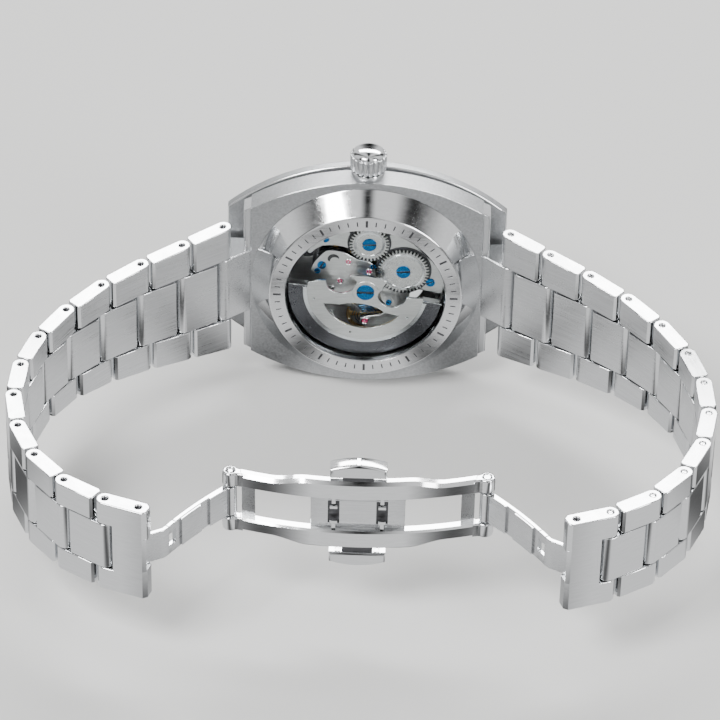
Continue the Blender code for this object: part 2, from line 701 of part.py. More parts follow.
def gear_train(bench, brass, steel):
    barrel = bench.plate("mainspring_barrel", [toothed(72, 5.2, 4.95)], (4.75, 5.75))
    arbor = bench.turned("arbor", [(0, 3.62), (0.6, 3.62), (0.6, 5.0), (0, 5.0)], 10, loop=False)
    bench.join(barrel, arbor)
    barrel.location = (BARREL_AT[0] * MM, BARREL_AT[1] * MM, 0)
    paint(barrel, brass)
    wheel(bench, "third_wheel", THIRD_AT, 60, 3.3, (4.75, 5.0), brass,
          (0.28, 3.75, 6.45), (8, 0.7, 5.9, 6.25))
    wheel(bench, "fourth_wheel", FOURTH_AT, 72, 2.6, (5.4, 5.65), brass,
          (0.28, 3.75, 5.83), (8, 0.6, 4.75, 5.1))
    escape = bench.plate("escape_wheel", [escape_outline(15, 2.1)], (4.8, 5.05))
    staff = bench.turned("staff", [(0, 3.75), (0.28, 3.75), (0.28, 6.45), (0, 6.45)], 8, loop=False)
    pinion = bench.plate("pinion", [toothed(6, 0.6, 0.4)], (5.3, 5.75))
    bench.join(escape, staff, pinion)
    escape.location = (ESCAPE_AT[0] * MM, ESCAPE_AT[1] * MM, 0)
    paint(escape, steel)


def escape_outline(teeth, tip_r):
    """Club teeth: each rises slowly and drops steeply."""
    points = []
    for k in range(teeth):
        a = 2 * math.pi * k / teeth
        step = 2 * math.pi / teeth
        for share, r in ((0.0, tip_r), (0.25, tip_r * 0.97), (0.35, tip_r * 0.72), (0.8, tip_r * 0.74)):
            points.append((r * math.cos(a + share * step), r * math.sin(a + share * step)))
    return points


def keyless_wheels(bench, steel):
    for name, at, teeth, r in (("ratchet_wheel", BARREL_AT, 42, 4.15),
                               ("crown_wheel", CROWN_WHEEL_AT, 32, 3.2)):
        disc = bench.plate(name, [toothed(teeth, r, r - 0.3)], (3.05, 3.42))
        head = bench.turned("head", [(0, 2.95), (1.15, 2.95), (1.15, 3.2), (0, 3.2)], 14, loop=False)
        bench.join(disc, head)
        bench.cut(disc, bench.box("slot", (-1.5, -0.14, -3.12), (1.5, 0.14, -2.8)))
        disc.location = (at[0] * MM, at[1] * MM, 0)
        paint(disc, steel)
        smooth(disc)


def centre_wheel(bench, brass):
    """The centre wheel's staff runs through the mainplate and dial and carries the minute hand."""
    wheel(bench, "centre_wheel", CENTRE_AT, 64, 4.3, (5.95, 6.2), brass, (0.3, 3.75, 10.1),
          (12, 1.38, 4.9, 5.6))


def pallet_fork(bench, steel):
    """A lever with two pallets towards the escape wheel and a forked tail towards the balance."""
    toward = math.atan2(ESCAPE_AT[1] - PALLET_AT[1], ESCAPE_AT[0] - PALLET_AT[0])
    outline = [(0.55, 1.15), (0.95, 1.3), (0.95, 0.95), (0.5, 0.3), (0.5, -0.3), (0.95, -0.95),
               (0.95, -1.3), (0.55, -1.15), (-0.3, -0.45), (-1.9, -0.3), (-2.3, -0.45), (-2.3, -0.15),
               (-2.0, 0.0), (-2.3, 0.15), (-2.3, 0.45), (-1.9, 0.3), (-0.3, 0.45)]
    lever = bench.plate("pallet_fork", [outline], (4.8, 5.05))
    staff = bench.turned("staff", [(0, 4.55), (0.25, 4.55), (0.25, 6.45), (0, 6.45)], 8, loop=False)
    bench.join(lever, staff)
    lever.location = (PALLET_AT[0] * MM, PALLET_AT[1] * MM, 0)
    lever.rotation_euler = (0, 0, toward)
    paint(lever, steel)


def balance(bench, brass, blue):
    rim_r, hub_r = 3.05, 0.5
    outlines = [circle(0, 0, rim_r, 24)]
    for base in (0, 180):
        outlines.append(arc(0, 0, rim_r - 0.55, base + 8, base + 172, 9)
                        + arc(0, 0, hub_r, base + 150, base + 30, 3))
    rim = bench.plate("balance_wheel", outlines, (5.3, 5.75))
    staff = bench.turned("staff", [(0, 4.5), (0.25, 4.5), (0.25, 6.45), (0, 6.45)], 8, loop=False)
    bench.join(rim, staff)
    rim.location = (BALANCE_AT[0] * MM, BALANCE_AT[1] * MM, 0)
    paint(rim, brass)
    smooth(rim)
    hairspring(bench, blue)


def hairspring(bench, blue):
    turns, per_turn, start_r, end_r = 3.5, 12, 0.6, 2.1
    data = bpy.data.curves.new("hairspring", "CURVE")
    data.dimensions = "3D"
    data.bevel_depth = 0.05 * MM
    data.bevel_resolution = 0
    data.use_fill_caps = True
    spline = data.splines.new("POLY")
    count = int(turns * per_turn)
    spline.points.add(count)
    for k, point in enumerate(spline.points):
        a = 2 * math.pi * k / per_turn
        r = start_r + (end_r - start_r) * k / count
        point.co = (r * math.cos(a) * MM, r * math.sin(a) * MM, 0, 1)
    coil = bench.mesh_object("hairspring_wire", data)
    bpy.context.view_layer.update()
    mesh = bpy.data.meshes.new_from_object(coil.evaluated_get(bpy.context.evaluated_depsgraph_get()))
    bpy.data.objects.remove(coil, do_unlink=True)
    weld(mesh)
    spring = bench.mesh_object("hairspring", mesh)
    spring.location = (BALANCE_AT[0] * MM, BALANCE_AT[1] * MM, -5.1 * MM)
    paint(spring, blue)


def rotor(bench, steel, blue):
    """The winding weight: an open half disc with a heavy rim, on a hub about the hands' axis."""
    tilt = -8.0
    plate_low, plate_high = 1.3, 1.75
    hub = [(3.1, 2.6), (-3.0, 2.7)]
    left_bay = arc(-4.15, 1.5, 2.45, 8, -172, 8)
    right_bay = arc(4.35, 0.0, 2.3, 188, 360, 8)
    sweep = arc(0, 0, 12.35, 182, 358, 21)
    outline = hub + left_bay + [(-9.3, 0.4)] + sweep + [(9.3, 0.3)] + right_bay[::-1]
    crescent = arc(0, 0, 7.1, 208, 328, 9) + [(3.6, -3.5), (1.6, -2.5), (-1.6, -2.5), (-3.6, -3.1)]
    bore = circle(0, 0, 0.95, 12)
    weight = bench.plate("rotor", [outline, crescent, bore], (plate_low, plate_high))
    rim = bench.plate("rim", [arc(0, 0, 12.35, 182, 358, 21) + arc(0, 0, 9.4, 358, 182, 15)],
                      (plate_low, 2.85))
    bench.join(weight, rim)
    weight.rotation_euler = (0, 0, math.radians(tilt))
    paint(weight, steel)
    smooth(weight)
    screw = bench.turned("rotor_screw", [(0, 1.15), (1.5, 1.15), (1.5, 1.28), (0.8, 1.28), (0.8, 3.3),
                                         (0, 3.3)], 16, loop=False)
    bench.cut(screw, bench.box("slot", (-2, -0.16, -1.22), (2, 0.16, -1.0)))
    paint(screw, blue)


# ------------------------------------------------------------------ dial side

def dial(bench, paint_finish):
    """A skeleton dial: a chapter ring on three arms round an open middle."""
    plate = bench.plate("dial", [circle(0, 0, 15.6, 30), circle(0, 0, 0.9, 12)]
                        + [arc(0, 0, 10.4, a, a + 96, 9) + arc(0, 0, 3.4, a + 84, a + 12, 4)
                           for a in (12, 132, 252)], (8.6, 9.0))
    marks = [bench.box("mark", (11.2, -0.35, -9.25), (14.4, 0.35, -8.9)) for _ in range(12)]
    for k, mark in enumerate(marks):
        mark.rotation_euler = (0, 0, 2 * math.pi * k / 12)
    bench.join(plate, *marks)
    paint(plate, paint_finish)
    smooth(plate)


def hand(bench, name, length, width, depths, bore_r, angle, steel):
    """A baton hand with a pierced middle, drawn along +x from its hub."""
    outline = arc(0, 0, 1.0, 20, 340, 9) + [(2.0, -width / 2), (length - 1.0, -width / 2), (length, 0),
                                            (length - 1.0, width / 2), (2.0, width / 2)]
    outlines = [outline, circle(0, 0, bore_r, 10)]
    if width > 0.8:
        outlines.append([(3.0, -width / 4), (length - 1.8, -width / 4), (length - 1.8, width / 4),
                         (3.0, width / 4)])
    blade = bench.plate(name, outlines, depths)
    blade.rotation_euler = (0, 0, math.radians(angle))
    paint(blade, steel)


def hands(bench, steel):
    hand(bench, "hour_hand", 8.6, 1.5, (9.35, 9.55), 0.55, -60, steel)
    hand(bench, "minute_hand", 12.6, 1.2, (9.8, 10.0), 0.36, 60, steel)
    hand(bench, "seconds_hand", 13.2, 0.35, (10.3, 10.45), 0.2, 180, steel)


# ------------------------------------------------------------------ build

def main():
    clear_scene()
    bench = Bench()
    polished = finish("polished_steel", (0.80, 0.81, 0.82), 0.12)
    brushed = finish("brushed_steel", (0.72, 0.73, 0.74), 0.32)
    plate_finish = finish("bridge_rhodium", (0.66, 0.66, 0.66), 0.35)
    brass = finish("wheel_brass", (0.78, 0.66, 0.42), 0.3)
    blue = finish("blued_steel", (0.02, 0.16, 0.35), 0.25)
    rubber = finish("gasket_rubber", (0.02, 0.02, 0.02), 0.7, 0.0)
    glass = finish("crystal", (0.95, 0.97, 0.98), 0.02, 0.0, 1.0)
    dark = finish("dial_dark", (0.04, 0.05, 0.07), 0.4, 0.2)
    middle_case(bench, brushed)
    bezel(bench, polished)
    front_crystal(bench, glass)
    case_back(bench, polished)
    back_crystal(bench, glass)
    gasket(bench, rubber)
    crown(bench, polished)
    winding_stem(bench, polished)
    crown_tube(bench, polished)
    setting_lever(bench, brushed)
    bracelet(bench, brushed)
    clasp_frame(bench, polished)
    clasp_arm(bench, -1, polished)
    clasp_arm(bench, 1, polished)
    push_button(bench, "push_button_top", 1, polished)
    push_button(bench, "push_button_bottom", -1, polished)
    hinge_pin(bench, polished)
    mainplate(bench, plate_finish)
    bridges(bench, plate_finish)
    gear_train(bench, brass, polished)
    centre_wheel(bench, brass)
    keyless_wheels(bench, polished)
    pallet_fork(bench, polished)
    balance(bench, brass, blue)
    rotor(bench, plate_finish, blue)
    dial(bench, dark)
    hands(bench, polished)
    bpy.context.view_layer.update()


main()
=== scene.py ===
import json
import math

import bmesh
import bpy
from mathutils import Matrix, Vector

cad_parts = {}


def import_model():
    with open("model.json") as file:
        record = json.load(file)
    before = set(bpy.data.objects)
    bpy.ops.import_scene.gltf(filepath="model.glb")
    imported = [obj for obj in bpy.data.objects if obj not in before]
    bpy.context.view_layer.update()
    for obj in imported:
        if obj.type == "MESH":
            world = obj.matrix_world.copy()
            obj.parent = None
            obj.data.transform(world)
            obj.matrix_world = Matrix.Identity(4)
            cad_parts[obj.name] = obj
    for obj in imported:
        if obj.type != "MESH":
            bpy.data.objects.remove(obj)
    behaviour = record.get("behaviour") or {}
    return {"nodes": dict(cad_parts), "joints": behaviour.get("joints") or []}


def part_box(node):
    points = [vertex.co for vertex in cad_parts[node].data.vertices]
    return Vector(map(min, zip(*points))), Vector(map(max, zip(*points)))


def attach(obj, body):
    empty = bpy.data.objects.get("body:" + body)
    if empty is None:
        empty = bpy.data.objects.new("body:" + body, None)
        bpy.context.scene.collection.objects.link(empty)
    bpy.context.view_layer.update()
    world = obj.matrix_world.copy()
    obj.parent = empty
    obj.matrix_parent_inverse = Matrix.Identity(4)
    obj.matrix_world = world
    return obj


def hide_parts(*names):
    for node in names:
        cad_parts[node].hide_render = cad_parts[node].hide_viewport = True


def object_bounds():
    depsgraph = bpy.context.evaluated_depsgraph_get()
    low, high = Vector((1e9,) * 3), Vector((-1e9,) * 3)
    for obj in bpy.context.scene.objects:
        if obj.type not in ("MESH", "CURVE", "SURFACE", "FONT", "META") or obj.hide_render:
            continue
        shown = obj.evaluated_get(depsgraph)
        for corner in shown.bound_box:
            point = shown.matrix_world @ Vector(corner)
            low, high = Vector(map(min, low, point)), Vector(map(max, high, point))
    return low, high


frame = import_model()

CAD_LOW, CAD_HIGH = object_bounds()

# Shapes are in millimetres; the floor, the lamps and the camera's clipping are in metres.
# X points to 12 o'clock, Z to the crown, Y from case back to dial.
MM = 0.001
X_AXIS, Y_AXIS, Z_AXIS = Vector((1, 0, 0)), Vector((0, 1, 0)), Vector((0, 0, 1))
JOINTS = {joint["name"]: Vector(joint["pos_m"]) / MM for joint in frame["joints"] if "pos_m" in joint}

# Bracelet: pin to pin, last pin to spring bar, half a link's thickness, and the gaps round a link.
PIN_STEP = 7.5
BAR_STEP = 5.3
HALF_THICK = 1.3
PIN_GAP = 0.25
SIDE_GAP = 0.12
PIN_HOLE_R = 0.46
CENTRE_START = 1.62

# Clasp, in the frame's own axes: the hinges, the curve its rails follow, their section, the spring bars.
HINGE_X = 19.0
FRAME_CURVE = 120.0
HINGE_T = -HINGE_X ** 2 / FRAME_CURVE
RAIL_INNER, RAIL_OUTER = 2.95, 5.4
RAIL_BELOW, RAIL_ABOVE = 0.9, 0.65
BAR_X, BAR_T = 1.9, 2.2

BRIDGE_R = 12.4
SHARP_ANGLE = 40.0


# ---------------------------------------------------------------- finishes

def nodes_of(name):
    mat = bpy.data.materials.new(name)
    mat.use_nodes = True
    tree = mat.node_tree
    return mat, tree, tree.nodes["Principled BSDF"]


def stretched_noise(tree, source, stretch, detail=3.0, distortion=0.0):
    """Noise in the piece's own millimetres, stretched along its brushing."""
    scale = tree.nodes.new("ShaderNodeVectorMath")
    scale.operation = "MULTIPLY"
    scale.inputs[1].default_value = stretch
    tree.links.new(source, scale.inputs[0])
    noise = tree.nodes.new("ShaderNodeTexNoise")
    noise.inputs["Scale"].default_value = 1.0
    noise.inputs["Detail"].default_value = detail
    noise.inputs["Distortion"].default_value = distortion
    tree.links.new(scale.outputs[0], noise.inputs["Vector"])
    return noise.outputs["Fac"]


def remap(tree, source, low, high, out_low, out_high):
    node = tree.nodes.new("ShaderNodeMapRange")
    for key, value in (("From Min", low), ("From Max", high), ("To Min", out_low), ("To Max", out_high)):
        node.inputs[key].default_value = value
    tree.links.new(source, node.inputs["Value"])
    return node.outputs["Result"]


def maths(tree, operation, a, b):
    node = tree.nodes.new("ShaderNodeMath")
    node.operation = operation
    for socket, value in zip(node.inputs, (a, b)):
        if isinstance(value, float):
            socket.default_value = value
        else:
            tree.links.new(value, socket)
    return node.outputs[0]


def metal(name, colour, rough, brush=(0.3, 5.0, 5.0), depth=0.1, spread=0.12, shade=0.1,
          own_space=True, metallic=1.0):
    """Metal with a brushed or stoned grain, handling smudges and fine scratches."""
    mat, tree, shader = nodes_of(name)
    if own_space:
        place = tree.nodes.new("ShaderNodeAttribute")
        place.attribute_name = "grain"
        source = place.outputs["Vector"]
    else:
        place = tree.nodes.new("ShaderNodeTexCoord")
        scale = tree.nodes.new("ShaderNodeVectorMath")
        scale.operation = "SCALE"
        scale.inputs["Scale"].default_value = 1 / MM
        tree.links.new(place.outputs["Object"], scale.inputs[0])
        source = scale.outputs[0]
    grain = stretched_noise(tree, source, brush)
    smudge = stretched_noise(tree, source, (0.35, 0.35, 0.35), 2.0, 0.6)
    scratch = stretched_noise(tree, source, (0.9, 7.0, 2.5), 1.0, 1.8)
    scratch = remap(tree, scratch, 0.66, 0.70, 0.0, 1.0)
    roughness = maths(tree, "ADD", remap(tree, grain, 0.3, 0.7, rough - spread / 2, rough + spread / 2),
                      remap(tree, smudge, 0.35, 0.7, 0.0, 0.05))
    roughness = maths(tree, "ADD", roughness, maths(tree, "MULTIPLY", scratch, 0.03))
    tree.links.new(roughness, shader.inputs["Roughness"])
    tone = tree.nodes.new("ShaderNodeMix")
    tone.data_type = "RGBA"
    tone.inputs["A"].default_value = (*[c * (1 - shade) for c in colour], 1)
    tone.inputs["B"].default_value = (*[min(c * (1 + shade), 1) for c in colour], 1)
    tree.links.new(remap(tree, grain, 0.32, 0.68, 0.0, 1.0), tone.inputs["Factor"])
    tree.links.new(tone.outputs["Result"], shader.inputs["Base Color"])
    shader.inputs["Metallic"].default_value = metallic
    bump = tree.nodes.new("ShaderNodeBump")
    bump.inputs["Strength"].default_value = depth
    bump.inputs["Distance"].default_value = 0.05 * MM
    tree.links.new(grain, bump.inputs["Height"])
    tree.links.new(bump.outputs["Normal"], shader.inputs["Normal"])
    return mat


def clear_glass(name, dust):
    mat, tree, shader = nodes_of(name)
    shader.inputs["Base Color"].default_value = (0.96, 0.98, 0.98, 1)
    shader.inputs["Transmission Weight"].default_value = 1.0
    shader.inputs["IOR"].default_value = 1.05
    place = tree.nodes.new("ShaderNodeAttribute")
    place.attribute_name = "grain"
    specks = stretched_noise(tree, place.outputs["Vector"], (0.8, 0.8, 0.8), 4.0, 0.4)
    tree.links.new(remap(tree, specks, 0.5, 0.75, 0.0, dust), shader.inputs["Roughness"])
    bump = tree.nodes.new("ShaderNodeBump")
    bump.inputs["Strength"].default_value = 0.02
    bump.inputs["Distance"].default_value = 0.01 * MM
    tree.links.new(specks, bump.inputs["Height"])
    tree.links.new(bump.outputs["Normal"], shader.inputs["Normal"])
    return mat


SATIN = metal("steel_satin", (0.68, 0.69, 0.70), 0.29, (0.14, 6.5, 6.5), 0.20, 0.12, 0.09)
SATIN_ACROSS = metal("steel_satin_across", (0.68, 0.69, 0.70), 0.29, (6.5, 0.14, 6.5), 0.20, 0.12, 0.09)
POLISH = metal("steel_polished", (0.74, 0.75, 0.76), 0.08, (0.4, 3.0, 3.0), 0.02, 0.05, 0.03)
POLISH_SOFT = metal("steel_polished_soft", (0.72, 0.73, 0.74), 0.15, (0.3, 3.5, 3.5), 0.04, 0.06, 0.03)
BLASTED = metal("steel_blasted", (0.46, 0.47, 0.48), 0.42, (3.2, 3.2, 3.2), 0.45, 0.10, 0.13)
# Painted shade: near-black steel put into sunk pin ends, screw slots, grooves, recesses, gaps between parts
# and under wheels, where only shade falls.
PAINTED_SHADE_STEEL = metal("steel_shadowed", (0.10, 0.10, 0.105), 0.38, (0.5, 3.0, 3.0), 0.1, 0.12, 0.15)
RHODIUM = metal("rhodium_grained", (0.74, 0.74, 0.73), 0.34, (0.5, 3.6, 3.6), 0.16, 0.12, 0.07)
# Painted shade: the rotor rim's face towards the case back, darkened as if lying deep in the window.
ROTOR_RIM_SHADE = metal("rotor_rim_painted_shade", (0.12, 0.12, 0.13), 0.22, (3.4, 3.4, 3.4), 0.03, 0.06, 0.06)
# Painted shade: near-black for the mainplate's back, the bridges' walls, the movement's rim and pillars and
# the case's inner ring, deep where shade falls; the plate is rhodium on its dial side.
PAINTED_SHADE_PLATE = metal("mainplate_painted_shade", (0.085, 0.085, 0.09), 0.42, (2.6, 2.6, 2.6), 0.2, 0.12, 0.2)
WHEEL_STEEL = metal("wheel_steel", (0.72, 0.72, 0.71), 0.26, (1.5, 1.5, 6.0), 0.12, 0.1, 0.08)
BRASS = metal("brass_turned", (0.66, 0.50, 0.26), 0.30, (1.5, 1.5, 6.0), 0.1, 0.12, 0.08)
BLUED = metal("steel_blued", (0.015, 0.16, 0.40), 0.24, (1.4, 6.0, 1.4), 0.08, 0.1, 0.15)
RUBY = metal("ruby", (0.72, 0.10, 0.22), 0.12, (3.0, 3.0, 3.0), 0.02, 0.05, 0.12, metallic=0.0)
LACQUER = metal("dial_lacquer_dark", (0.022, 0.028, 0.040), 0.30, (0.6, 4.0, 4.0), 0.06, 0.08, 0.2,
                metallic=0.2)
GLASS = clear_glass("crystal_clear", 0.015)
FRONT_GLASS = clear_glass("crystal_front", 0.03)


# ---------------------------------------------------------------- solids, in a piece's own millimetres

def arc(cx, cy, r, start, end, count):
    angles = [math.radians(start + (end - start) * k / (count - 1)) for k in range(count)]
    return [(cx + r * math.cos(a), cy + r * math.sin(a)) for a in angles]


def circle(cx, cy, r, count):
    return arc(cx, cy, r, 0.0, 360.0 * (count - 1) / count, count)


def area(outline):
    return sum(a[0] * b[1] - b[0] * a[1] for a, b in zip(outline, outline[1:] + outline[:1])) / 2


def prism(outlines, low, high, bevel=0.1, steps=2):
    """The first outline with the others as holes, extruded from low to high, its edges rounded."""
    data = bpy.data.curves.new("outline", "CURVE")
    data.dimensions = "2D"
    data.fill_mode = "BOTH"
    data.extrude = (high - low) / 2 - bevel
    data.bevel_depth = bevel
    data.bevel_resolution = steps
    data.offset = -bevel
    for number, outline in enumerate(outlines):
        wanted = 1 if number == 0 else -1
        points = outline if area(outline) * wanted > 0 else outline[::-1]
        spline = data.splines.new("POLY")
        spline.points.add(len(points) - 1)
        for point, (a, b) in zip(spline.points, points):
            point.co = (a, b, 0, 1)
        spline.use_cyclic_u = True
    holder = bpy.data.objects.new("outline", data)
    bpy.context.scene.collection.objects.link(holder)
    bpy.context.view_layer.update()
    mesh = bpy.data.meshes.new_from_object(holder.evaluated_get(bpy.context.evaluated_depsgraph_get()))
    bpy.data.objects.remove(holder, do_unlink=True)
    middle = (low + high) / 2
    verts = [(v.co.x, v.co.y, v.co.z + middle) for v in mesh.vertices]
    faces = [tuple(p.vertices) for p in mesh.polygons]
    bpy.data.meshes.remove(mesh)
    return verts, faces


def lathe(profile, steps=48, at=(0.0, 0.0)):
    """A closed profile of (radius, height) turned about the third axis through at."""
    verts = []
    for k in range(steps):
        a = 2 * math.pi * k / steps
        verts += [(at[0] + r * math.cos(a), at[1] + r * math.sin(a), h) for r, h in profile]
    n = len(profile)
    faces = []
    for k in range(steps):
        here, there = k * n, (k + 1) % steps * n
        faces += [(here + j, here + (j + 1) % n, there + (j + 1) % n, there + j) for j in range(n)]
    return verts, faces


def disc(r, low, high, bevel=0.08, steps=32, at=(0.0, 0.0)):
    """A turned disc with both edges broken."""
    return lathe([(0, low), (r - bevel, low), (r, low + bevel), (r, high - bevel), (r - bevel, high),
                  (0, high)], steps, at)


def ring(inner, outer, low, high, bevel=0.06, steps=64, at=(0.0, 0.0)):
    b = bevel
    return lathe([(inner + b, low), (outer - b, low), (outer, low + b), (outer, high - b), (outer - b, high),
                  (inner + b, high), (inner, high - b), (inner, low + b)], steps, at)


def box(low, high, bevel=0.08):
    (a0, b0, c0), (a1, b1, c1) = low, high
    return prism([[(a0, b0), (a1, b0), (a1, b1), (a0, b1)]], c0, c1, bevel, 1)


def swap(solid, order):
    """The solid with its axes taken in another order."""
    verts, faces = solid
    return [tuple(v[k] for k in order) for v in verts], faces


def turn(solid, degrees, cx=0.0, cy=0.0):
    verts, faces = solid
    c, s = math.cos(math.radians(degrees)), math.sin(math.radians(degrees))
    turned = [(cx + (x - cx) * c - (y - cy) * s, cy + (x - cx) * s + (y - cy) * c, z) for x, y, z in verts]
    return turned, faces


def shift(solid, a, b, c=0.0):
    verts, faces = solid
    return [(x + a, y + b, z + c) for x, y, z in verts], faces


class Place:
    """Where a piece's own axes stand in the row frame."""

    def __init__(self, origin, a, b, c):
        self.origin, self.a, self.b, self.c = origin, a, b, c
        self.mirrored = a.cross(b).dot(c) < 0

    def point(self, v):
        return (self.origin + self.a * v[0] + self.b * v[1] + self.c * v[2]) * MM


PLAN = Place(Vector(), X_AXIS, Z_AXIS, Y_AXIS)


class Piece:
    """Solids gathered into one mesh. Each face has a finish; each corner keeps its own-axes position
    for the grain, moved by a different offset in every piece."""

    made = 0

    def __init__(self, name, where=PLAN):
        self.name, self.where = name, where
        Piece.made += 1
        self.offset = Vector((7.3, 3.7, 5.9)) * Piece.made
        self.mesh = bmesh.new()
        self.grain = self.mesh.verts.layers.float_vector.new("grain")
        self.finishes = []

    def index(self, finish):
        if finish not in self.finishes:
            self.finishes.append(finish)
        return self.finishes.index(finish)

    def add(self, solid, finish, by_normal=None, warp=None):
        """by_normal picks another finish for a face from its normal in the piece's own axes."""
        verts, faces = solid
        part = bmesh.new()
        made = [part.verts.new(v) for v in verts]
        for face in faces:
            if len(set(face)) > 2:
                try:
                    part.faces.new([made[k] for k in face])
                except ValueError:  # the same face given twice
                    pass
        bmesh.ops.remove_doubles(part, verts=part.verts, dist=1e-4)
        bmesh.ops.dissolve_degenerate(part, dist=1e-4, edges=part.edges)
        bmesh.ops.recalc_face_normals(part, faces=part.faces)
        flats = {face for face in part.faces if max(abs(n) for n in face.normal) > 0.9999}
        if warp:
            for vert in part.verts:
                vert.co = warp(vert.co)
            bmesh.ops.recalc_face_normals(part, faces=part.faces)
        copies = {}
        for vert in part.verts:
            new = self.mesh.verts.new(self.where.point(vert.co))
            new[self.grain] = vert.co + self.offset
            copies[vert] = new
        for face in part.faces:
            loop = [copies[v] for v in face.verts]
            if self.where.mirrored:
                loop.reverse()
            new = self.mesh.faces.new(loop)
            chosen = by_normal(face.normal, face.calc_center_median()) if by_normal else None
            new.material_index = self.index(chosen or finish)
            new.smooth = face not in flats
        part.free()
        return self

    def done(self, body, slot, *stands_for):
        data = bpy.data.meshes.new(self.name)
        self.mesh.to_mesh(data)
        self.mesh.free()
        for finish in self.finishes:
            data.materials.append(finish)
        smooth = [polygon.use_smooth for polygon in data.polygons]
        data.set_sharp_from_angle(angle=math.radians(SHARP_ANGLE))
        data.polygons.foreach_set("use_smooth", smooth)
        obj = bpy.data.objects.new(self.name, data)
        bpy.context.scene.collection.objects.link(obj)
        weigh = obj.modifiers.new("flats_stay_flat", "WEIGHTED_NORMAL")
        weigh.keep_sharp = True
        weigh.weight = 90
        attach(obj, body)
        if stands_for:
            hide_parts(*stands_for)
        return obj


# ---------------------------------------------------------------- bracelet

def chain_points(word):
    side = -1 if word == "left" else 1
    points = [JOINTS["%s_pin_%02d" % (word, k)] for k in range(1, 13)] + [JOINTS[word + "_bar"]]
    return side, points


def link_place(word, index):
    """Own axes of a link: u along the band, t out from the wrist, w towards the crown."""
    side, points = chain_points(word)
    along = (points[index + 1] - points[index]).normalized()
    out = Vector((-along.y, along.x, 0)) * side
    return Place(points[index], along, out, Z_AXIS)


def capsule_end(x, toward, count=13):
    start = -90 if toward > 0 else 90
    return arc(x, 0, HALF_THICK, start, start + 180, count)


def skin(inner, outer, sides):
    """Chooses a finish by which way a bracelet face looks."""
    def choose(normal, centre):
        if normal.y < -0.93:
            return inner
        if normal.y > 0.93:
            return outer
        if abs(normal.z) > 0.93:
            return sides
        return None
    return choose


def bracelet_pins(piece, here, u, deep):
    """A pin end in each side face: sunk and painted dark as shade on one half of the bracelet, near flush on
    the other with a slot painted dark as shade.
    """
    for s in (-1, 1):
        face = here / 2 - (0.45 if deep else 0.12)
        limits = sorted((s * (here / 2 - 3.0), s * face))
        piece.add(disc(0.40, *limits, 0.1, 20, (u, 0.0)), PAINTED_SHADE_STEEL if deep else POLISH)
        if not deep:
            # Painted shade: a near-black slot across the flush pin end.
            groove = sorted((s * (face - 0.06), s * (face + 0.02)))
            piece.add(box((u - 0.34, -0.05, groove[0]), (u + 0.34, 0.05, groove[1]), 0.01), PAINTED_SHADE_STEEL)


def link(word, index):
    name = "link_%s_%02d" % (word, index + 1)
    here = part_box(name)[1].z * 2 / MM
    there_name = "link_%s_%02d" % (word, index + 2) if index < 10 else "end_link_" + word
    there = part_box(there_name)[1].z * 2 / MM
    piece = Piece("bracelet_" + name, link_place(word, index))
    slot, far_slot = here / 4 + SIDE_GAP, there / 4
    outer_end = PIN_STEP - HALF_THICK - PIN_GAP

    def taper(v):
        share = v[0] / PIN_STEP
        return v[0], v[1], v[2] * (1 + (there / here - 1) * share)

    fillet = 0.35
    outline = (capsule_end(0, -1) + [(outer_end - fillet, -HALF_THICK), (outer_end, -HALF_THICK + fillet),
                                     (outer_end, HALF_THICK - fillet), (outer_end - fillet, HALF_THICK)])
    hole = circle(0, 0, PIN_HOLE_R, 20)
    choose = skin(SATIN, POLISH_SOFT, POLISH_SOFT)
    for s in (-1, 1):
        limits = sorted((s * slot, s * here / 2))
        piece.add(prism([outline, hole], *limits, 0.14, 2), POLISH, choose, taper)
    # Painted shade: a near-black block in the gap between the two outer halves.
    piece.add(box((2.1, -0.85, -slot - 0.4), (outer_end - 0.5, 0.85, slot + 0.4), 0.05),
              PAINTED_SHADE_STEEL, None, taper)
    corner = 0.3
    centre = ([(CENTRE_START + corner, HALF_THICK), (CENTRE_START, HALF_THICK - corner),
               (CENTRE_START, -HALF_THICK + corner), (CENTRE_START + corner, -HALF_THICK)]
              + capsule_end(PIN_STEP, 1))
    piece.add(prism([centre], -far_slot + 0.03, far_slot - 0.03, 0.14, 2), POLISH,
              skin(SATIN, POLISH_SOFT, POLISH))
    bracelet_pins(piece, here, 0.0, word == "left")
    piece.done(name, "brushed_steel", name)


